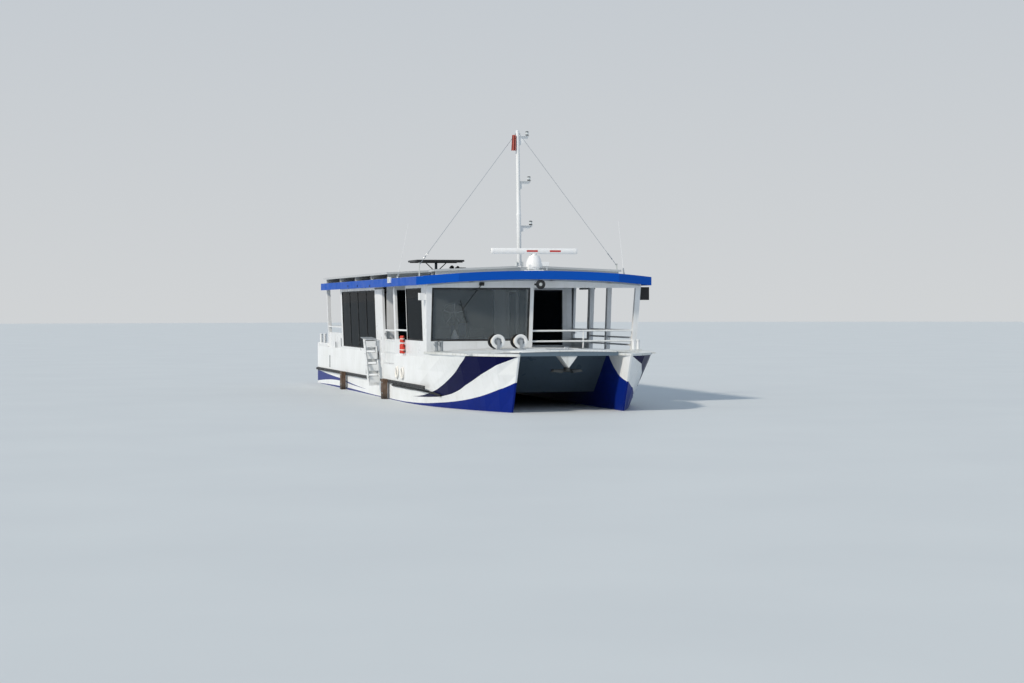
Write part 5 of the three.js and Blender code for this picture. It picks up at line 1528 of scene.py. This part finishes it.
def band_fittings():
    black, white, lens = forms(3)
    for s in SIDES.values():
        band = on_edge(s)
        for x, z in ((-2.99, 2.93), (-1.50, 2.92), (0.34, 2.90)):
            stud(black, band(x, z, -0.002), (0, s, 0), (0.028, 0.010), (0.018, 0.016), 20)
        slab(black, band, (0.84, 2.03), (2.80, 2.846), (-0.09, -0.03))
        slab(lens, band, (0.86, 2.01), (2.795, 2.801), (-0.08, -0.04))
        slab(white, band, (2.95, 3.25), (2.94, 3.08), (-0.002, 0.045))
        slab(lens, band, (2.98, 3.22), (2.96, 3.06), (0.045, 0.048))
    piece("band_caps", black, BLACK_PLASTIC, edge=1)
    piece("flood_lamps", white, GELCOAT, edge=4)
    piece("flood_lenses", lens, LAMP_GLASS)


module_frames()
raised_module()
roof_cluster()
band_fittings()

# %% [markdown]
# ## Round the stern
# A raised coaming follows the quarter and the transom, a hand's breadth above the bulwark, and a
# rounded capping finishes it. It is built as three slabs on the bulwark's own faces. Two white
# mooring posts with collars stand on each quarter, one in the coaming and one just inside it.

# %% Stern coaming
STERN_X = -9.449
COAMING_Y, COAMING_Z = (2.545, 2.598), (1.148, 1.235)
CAP_Y, CAP_Z, CAP_R = 2.572, 1.238, 0.028
TWIN_POSTS = [(CAP_Y, 1.20), (2.455, DECK_Z)]  # distance off the centreline, foot
COLLAR = [(0.042, 1.495), (0.050, 1.50), (0.050, 1.525), (0.040, 1.535)]


def stern_coaming():
    bm, cap, posts = forms(3)
    for s in SIDES.values():
        block(bm, (STERN_X, -7.62), abeam(s, *COAMING_Y), COAMING_Z)
        line = [(-9.42, CAP_Z), (-7.62, CAP_Z), (-7.56, 1.165)]
        tube(cap, [(x, s * CAP_Y, z) for x, z in line], CAP_R, 14)
        for y, foot in TWIN_POSTS:
            turned(posts, (-8.93, s * y, foot), UP, [(0.042, 0), *[(r, z - foot) for r, z in COLLAR]], 28)
    block(bm, (STERN_X, -9.40), (-COAMING_Y[0], COAMING_Y[0]), COAMING_Z)
    tube(cap, [(-9.425, y, CAP_Z) for y in (-CAP_Y, CAP_Y)], CAP_R, 14)
    piece("stern_twin_posts", posts, RAIL_WHITE, slot="rail_paint")
    piece("stern_coaming", bm, HOUSE_WHITE, slot="hull_paint", edge=3)
    piece("coaming_cap", cap, RAIL_WHITE, slot="rail_paint")


stern_coaming()

# %% [markdown]
# ## Doors
# The wheelhouse door is a flush white leaf with a glazed upper half and a lever handle, and the
# saloon doors are sliding glass in aluminium frames with an upright pull. Each leaf's fittings ride
# on its own body, so that they open with it.

# %% Door fittings
DOOR_HALF, DOOR_Z = 0.50, (0.888, 2.86)
DOOR_BAR = 0.0045  # how far a door's bars stand out of its glass
PULL = [(0, 1.62), (0.035, 1.62), (0.035, 2.02), (0, 2.02)]  # how far out, height
LEAF_FACES = [(-0.0803, -1), (-0.0397, 1)]  # the wheelhouse door's two faces, and which way they look
LEVER_X, LEVER_Z = 4.17, 1.50


def sliding_door(body, x, out):
    bm, pull = forms(2)
    near, far = x + out * 0.006, x + out * 0.046
    for face in (near - out * DOOR_BAR, far):
        thick = (0.0, out * DOOR_BAR)
        seal(bm, on_bulkhead(face), (-DOOR_HALF, DOOR_HALF), DOOR_Z, thick, 0.05)
        slab(bm, on_bulkhead(face), (-0.45, 0.45), (1.75, 1.80), thick)
    tube(pull, [(far + out * reach, -0.42, z) for reach, z in PULL], 0.011, 14)
    piece(body + "_frame", bm, ALUMINIUM, body, "door_glass")
    piece(body + "_pull", pull, STEEL, body, "steel")


def wheelhouse_door():
    pane, seals, lever = forms(3)
    for face, side in LEAF_FACES:

        def place(x, z, out):
            return x, face + side * out, z

        slab(pane, place, (4.24, 4.72), (1.62, 2.66), (0.0, 0.004))
        seal(seals, place, (4.20, 4.76), (1.58, 2.70), (0.0, 0.009), 0.04)
        turned(lever, (LEVER_X, face, LEVER_Z), (0, side, 0),
               [(0.026, 0), (0.026, 0.006), (0.010, 0.010), (0.010, 0.036)], 18)
        tube(lever, [place(LEVER_X, LEVER_Z, 0.034), place(4.29, LEVER_Z, 0.036)], 0.009, 12)
    piece("wheelhouse_door_pane", pane, DOOR_GLASS, "wheelhouse_door", "door_glass")
    piece("wheelhouse_door_seal", seals, RUBBER, "wheelhouse_door", "black_rubber", edge=2)
    piece("wheelhouse_door_lever", lever, STEEL, "wheelhouse_door", "steel")


sliding_door("saloon_front_door", 0.95, 1)
sliding_door("saloon_aft_door", -5.1, -1)
wheelhouse_door()

# %% [markdown]
# ## The helm
# The helmsman looks out over a pale laminate console with a black plastic pod on it. The pod's
# leaning column carries a padded wheel, well up behind the glass, with two dark screens and a row
# of switches below. The wheel's rim is a closed tube with grips, and five spokes carry it.

# %% Helm
WHEEL = Vector((5.12, -1.72, 2.18))
WHEEL_AXIS = Vector((-1, 0, 0.35)).normalized()
WHEEL_R, GRIPS, HELM_SPOKES = 0.27, 15, 5
HUB = [(0.055, -0.03), (0.06, 0.0), (0.05, 0.015), (0.02, 0.02)]
COLUMN = [(5.40, -1.72, 1.56), (5.40, -1.72, 1.80), (5.33, -1.72, 2.02), WHEEL - WHEEL_AXIS * 0.02]
COLUMN_R = [0.06, *[0.06 - 0.002 * i for i in range(6)],  # one radius for each point of its path
            *[0.05 - 0.002 * i for i in range(5)], *[0.04] * 7]
LAMP_COVER = [(0.09, 0), (0.088, 0.05), (0.06, 0.13), (0.025, 0.21), (0.01, 0.225)]
CEILING_X, CEILING_Y = (-4.2, -2.9, -1.6, -0.3, 1.7, 3.0, 4.7), (-1.3, 1.3)


def helm():
    black, steel, pod, screens, white = forms(5)
    tube(black, hoop(WHEEL, WHEEL_AXIS, WHEEL_R, 56), 0.020, 14, closed=True)
    for turn in around(GRIPS):
        tube(black, hoop(WHEEL, WHEEL_AXIS, WHEEL_R, 4, turn, 0.17), 0.027, 12)
    turned(steel, WHEEL, WHEEL_AXIS, HUB, 28)
    for point in hoop(WHEEL, WHEEL_AXIS, WHEEL_R, HELM_SPOKES):
        tube(steel, [WHEEL, point], [0.012, 0.008], 10)
    tube(pod, fair(COLUMN), COLUMN_R, 16)
    for y in (-2.1, -1.25):
        block(pod, (5.42, 5.50), about(y, 0.19), (1.585, 1.85))
        block(screens, (5.412, 5.42), about(y, 0.17), (1.62, 1.83))
    for i in range(9):
        y = -1.0 + 0.055 * i
        block(screens, (5.28, 5.31), about(y, 0.012), (1.488, 1.512))
    turned(white, (5.55, -1.80, 1.58), UP, LAMP_COVER, 24)
    piece("helm_wheel", black, BLACK_PLASTIC)
    piece("helm_hub", steel, STEEL)
    piece("helm_pod", pod, BLACK_PLASTIC, slot="console_laminate", edge=4)
    piece("helm_screens", screens, BLACK_PLASTIC, edge=2)
    piece("helm_lamp_cover", white, GELCOAT)


def ceiling_lights():
    rim, lens = forms(2)
    for centre in [(x, y, roof_z(y) - 0.06) for x in CEILING_X for y in CEILING_Y]:
        turned(rim, centre, (0, 0, -1), [(0.075, -0.004), (0.075, 0.008), (0.060, 0.010)], 24)
        turned(lens, centre, (0, 0, -1), [(0.058, 0.006), (0.056, 0.013), (0.02, 0.016)], 24)
    piece("ceiling_light_rims", rim, ALUMINIUM)
    piece("ceiling_light_lenses", lens, LAMP_GLASS)


helm()
ceiling_lights()

# %% [markdown]
# ## Benches and helm seat
# The seats are foam pads under woven fabric, on laminate boxes. A stuffed pad is fuller in the
# middle and pulls in at its corners, so each kind of pad is inflated as cloth from a slightly
# smaller block. The block is remeshed into even squares first, and its movement is capped. One pad
# of each kind is inflated and then repeated along the bench.

# %% Padded seats
PAD_STEPS, PAD_PRESSURE = 20, 4.0
BENCH_PADS, BENCH_X = 6, (-4.85, 0.5)
FLOOR = DECK_Z + 0.0003  # a hair over the deck
BENCH_TOP, SEAT_TOP = 1.244, 1.362  # what the pads rest on
BENCH_BACK = [(2.385, BENCH_TOP), (2.44, BENCH_TOP), (2.47, 1.80), (2.445, 1.80)]
LEAN = 0.105  # of a bench's back, in radians
SEAT_X, SEAT_Y = 4.68, -1.45
SEAT_POST = [(0.17, 0), (0.17, 0.012), (0.10, 0.03), (0.05, 0.045), (0.045, 0.06), (0.045, 0.46)]
SEAT_ARM = [(-0.24, 0.235, 1.56), (-0.1, 0.262, 1.58), (0.12, 0.262, 1.58)]


def as_mesh(thing):
    return bpy.data.meshes.new_from_object(thing.evaluated_get(bpy.context.evaluated_depsgraph_get()))


def inflated(name, size, voxel, swell):
    """The mesh of a stuffed pad: a block blown up as cloth, with no point moved further than `swell`."""
    bm = bmesh.new()
    block(bm, *[about(0, length / 2) for length in size])
    pad = placed(name, meshed(name, bm))
    remesh = pad.modifiers.new("remesh", "REMESH")
    remesh.mode = "VOXEL"
    remesh.voxel_size = voxel
    pad.data = as_mesh(pad)
    pad.modifiers.clear()
    blow_up(pad, swell)
    smooth = pad.modifiers.new("smooth", "SUBSURF")
    smooth.levels = 1
    made = as_mesh(pad)
    bpy.data.objects.remove(pad)
    return made


def blow_up(pad, swell):
    start = [v.co.copy() for v in pad.data.vertices]
    cloth = pad.modifiers.new("cloth", "CLOTH")
    cloth.settings.use_pressure = True
    cloth.settings.uniform_pressure_force = PAD_PRESSURE
    cloth.settings.effector_weights.gravity = 0.0
    for step in range(1, PAD_STEPS + 1):
        bpy.context.scene.frame_set(step)
    blown = pad.evaluated_get(bpy.context.evaluated_depsgraph_get()).to_mesh()
    moved = [v.co.copy() for v in blown.vertices]
    pad.modifiers.clear()
    for vertex, was, now in zip(pad.data.vertices, start, moved):
        step = now - was
        vertex.co = was + (step * (swell / step.length) if step.length > swell else step)
    bpy.context.scene.frame_set(1)


def place_pads(name, mesh, places, floor_z=None, replaces=()):
    """One piece of fabric pads: the mesh repeated at each place, flattened where it rests."""
    bm = bmesh.new()
    for place in places:
        copy = mesh.copy()
        copy.transform(place)
        bm.from_mesh(copy)
        bpy.data.meshes.remove(copy)
    if floor_z is not None:
        for vertex in bm.verts:
            vertex.co.z = max(vertex.co.z, floor_z)
    made = piece(name, bm, SEAT_FABRIC, slot="seat_fabric", replaces=replaces, sharp=180)


def bench_box(side, s):
    bm = bmesh.new()
    x0, x1 = BENCH_X
    block(bm, (x0 + 0.1, x1 - 0.1), abeam(s, 2.06, 2.40), (FLOOR, 1.235))
    block(bm, BENCH_X, abeam(s, 1.965, 2.44), (1.230, BENCH_TOP))
    skin(bm, [[(x, s * y, z) for y, z in BENCH_BACK] for x in BENCH_X])
    for i in range(5):
        x = x0 + 0.55 + 1.05 * i
        block(bm, (x, x + 0.02), abeam(s, 2.045, 2.06), (0.90, 1.22))
    piece(f"bench_box_{side}", bm, LAMINATE, slot="console_laminate", edge=3, replaces=[f"bench_{side}"])


def benches():
    step = (BENCH_X[1] - BENCH_X[0]) / BENCH_PADS
    middles = [BENCH_X[0] + step * (i + 0.5) for i in range(BENCH_PADS)]
    seat = inflated("bench_pad", (step - 0.03, 0.36, 0.065), 0.020, 0.020)
    back = inflated("back_pad", (step - 0.03, 0.040, 0.40), 0.020, 0.020)
    for side, s in SIDES.items():
        bench_box(side, s)
        places = [Matrix.Translation((x, s * 2.165, 1.290)) for x in middles]
        place_pads(f"bench_seat_{side}", seat, places, BENCH_TOP + 0.0005, [f"bench_{side}"])
        lean = Matrix.Rotation(-s * LEAN, 4, "X")
        places = [Matrix.Translation((x, s * 2.375, 1.560)) @ lean for x in middles]
        place_pads(f"bench_back_{side}", back, places, replaces=[f"bench_{side}"])


def helm_seat():
    base, steel = forms(2)
    x, y = SEAT_X, SEAT_Y
    turned(steel, (x, y, FLOOR), UP, SEAT_POST, 36)
    block(base, about(x, 0.21), about(y, 0.22), (1.335, SEAT_TOP))
    block(base, (x - 0.262, x - 0.24), about(y, 0.21), (1.40, 1.97))
    block(base, (x - 0.262, x - 0.20), about(y, 0.05), (1.335, 1.45))
    for side in (-1, 1):
        tube(base, fair([(x + ahead, y + side * out, z) for ahead, out, z in SEAT_ARM]), 0.020, 12)
    piece("helm_seat_frame", base, BLACK_PLASTIC, edge=4, replaces=["helm_seat"])
    piece("helm_seat_post", steel, STEEL, slot="steel", replaces=["helm_seat"])
    seat = inflated("helm_pad", (0.42, 0.43, 0.06), 0.010, 0.024)
    back = inflated("helm_back_pad", (0.055, 0.42, 0.54), 0.010, 0.024)
    seat_place, back_place = Matrix.Translation((x, y, 1.405)), Matrix.Translation((x - 0.195, y, 1.70))
    place_pads("helm_seat_pad", seat, [seat_place], SEAT_TOP + 0.0005, ["helm_seat"])
    place_pads("helm_seat_back", back, [back_place], replaces=["helm_seat"])


benches()
helm_seat()

# %% [markdown]
# ## Propellers
# Each propeller has four cast blades that twist from root to tip and round off at the tip. A blade
# is a row of lens-shaped sections along its radius, each turned a little less than the last, so
# that it bites the water evenly. It replaces the flat blades of the frame and spins on its body.

# %% Propellers
SCREW_X, SCREW_Y, SCREW_Z = -8.14, 1.9, -0.52
PROP_R, HUB_R, BLADES, SECTIONS = 0.255, 0.048, 4, 12
PITCH = 0.17  # distance advanced in a radian of turn
PROP_HUB = [(0.012, -0.04), (0.03, -0.03), (0.042, 0.0), (0.047, 0.05), (0.053, 0.13), (0.055, 0.1695)]


def blade_ring(s, turn, r):
    """One section of a blade across its radius: a lens turned to the pitch of the screw."""
    share = (r - HUB_R) / (PROP_R - HUB_R)
    chord = (0.085 + 0.10 * sin(pi * min(share * 0.85 + 0.08, 1))) * (1 - 0.75 * share ** 6)
    angle = atan2(PITCH, r)
    thick = 0.011 * (1 - share) + 0.003
    ring = []
    for t in around(12):
        along, up = chord / 2 * cos(t), thick * sin(t)
        a = turn + s * (along * cos(angle) - up * sin(angle)) / r
        ahead = along * sin(angle) + up * cos(angle)
        ring.append((SCREW_X + ahead * 0.8, SCREW_Y * s + r * sin(a), SCREW_Z + r * cos(a)))
    return ring


def propellers():
    root = HUB_R - 0.006
    radii = [root + (PROP_R - root) * k / SECTIONS for k in range(SECTIONS + 1)]
    for side, s in SIDES.items():
        body = f"propeller_{side}"
        bm = bmesh.new()
        turned(bm, (-8.225, SCREW_Y * s, SCREW_Z), FORE, PROP_HUB, 32)
        for turn in around(BLADES):
            skin(bm, [blade_ring(s, turn, r) for r in radii])
        piece(f"{body}_cast", bm, BRONZE, body, "bronze", replaces=[body])


propellers()

# %% [markdown]
# ## Daylight and floor
# The picture was taken in hazy sun from starboard, about 37 degrees up and a little ahead of the
# beam. A wide, soft sun lamp gives that side light, and a pale sky fills the shade. The floor is
# plain and pale and lies at the waterline, so that the boat sits in it as it sits in water.

# %% Light and floor
SUN_FROM = Vector((0.45, -0.85, 0.72))
SUN_STRENGTH, SUN_WIDTH, SKY_STRENGTH = 2.7, radians(5), 0.74
FLOOR_RADIUS = 260


def add_sky():
    world = bpy.data.worlds.new("sky")
    world.use_nodes = True
    tree = world.node_tree
    place = add(tree, "TexCoord", out=0)
    height = add(tree, "SeparateXYZ", {0: place}, out=2)
    blend = add(tree, "MapRange", {0: height, 1: 0.0, 2: 0.6})
    colour = add(tree, "Mix", {0: blend, 6: "#eef1f3", 7: "#b9cde2"}, **RGBA)
    background = tree.nodes["Background"]
    tree.links.new(colour, background.inputs["Color"])
    background.inputs["Strength"].default_value = SKY_STRENGTH
    bpy.context.scene.world = world


def add_sun():
    lamp = bpy.data.lights.new("sun", "SUN")
    lamp.energy = SUN_STRENGTH
    lamp.angle = SUN_WIDTH
    lamp.color = linear("#fff4e4")[:3]
    sun = placed("sun", lamp)
    sun.rotation_mode = "QUATERNION"
    sun.rotation_quaternion = SUN_FROM.to_track_quat("Z", "Y")


def add_floor():
    made, tree, shader = start_material("plain_pale_floor", "#ccd1d4", 0.6)
    tint = add(tree, "Mix", {0: patches(tree, 3.0), 6: "#c8cdd0", 7: "#d1d6d8"}, **RGBA)
    coloured(tree, shader, tint)
    bm = bmesh.new()
    bmesh.ops.create_circle(bm, cap_ends=True, radius=FLOOR_RADIUS, segments=96)
    mesh = bpy.data.meshes.new("floor")
    bm.to_mesh(mesh)
    bm.free()
    mesh.materials.append(made)
    placed("floor", mesh)


add_sky()
add_sun()
add_floor()
bpy.context.scene.view_settings.view_transform = "Standard"
print("sun from", [round(c, 2) for c in SUN_FROM.normalized()])
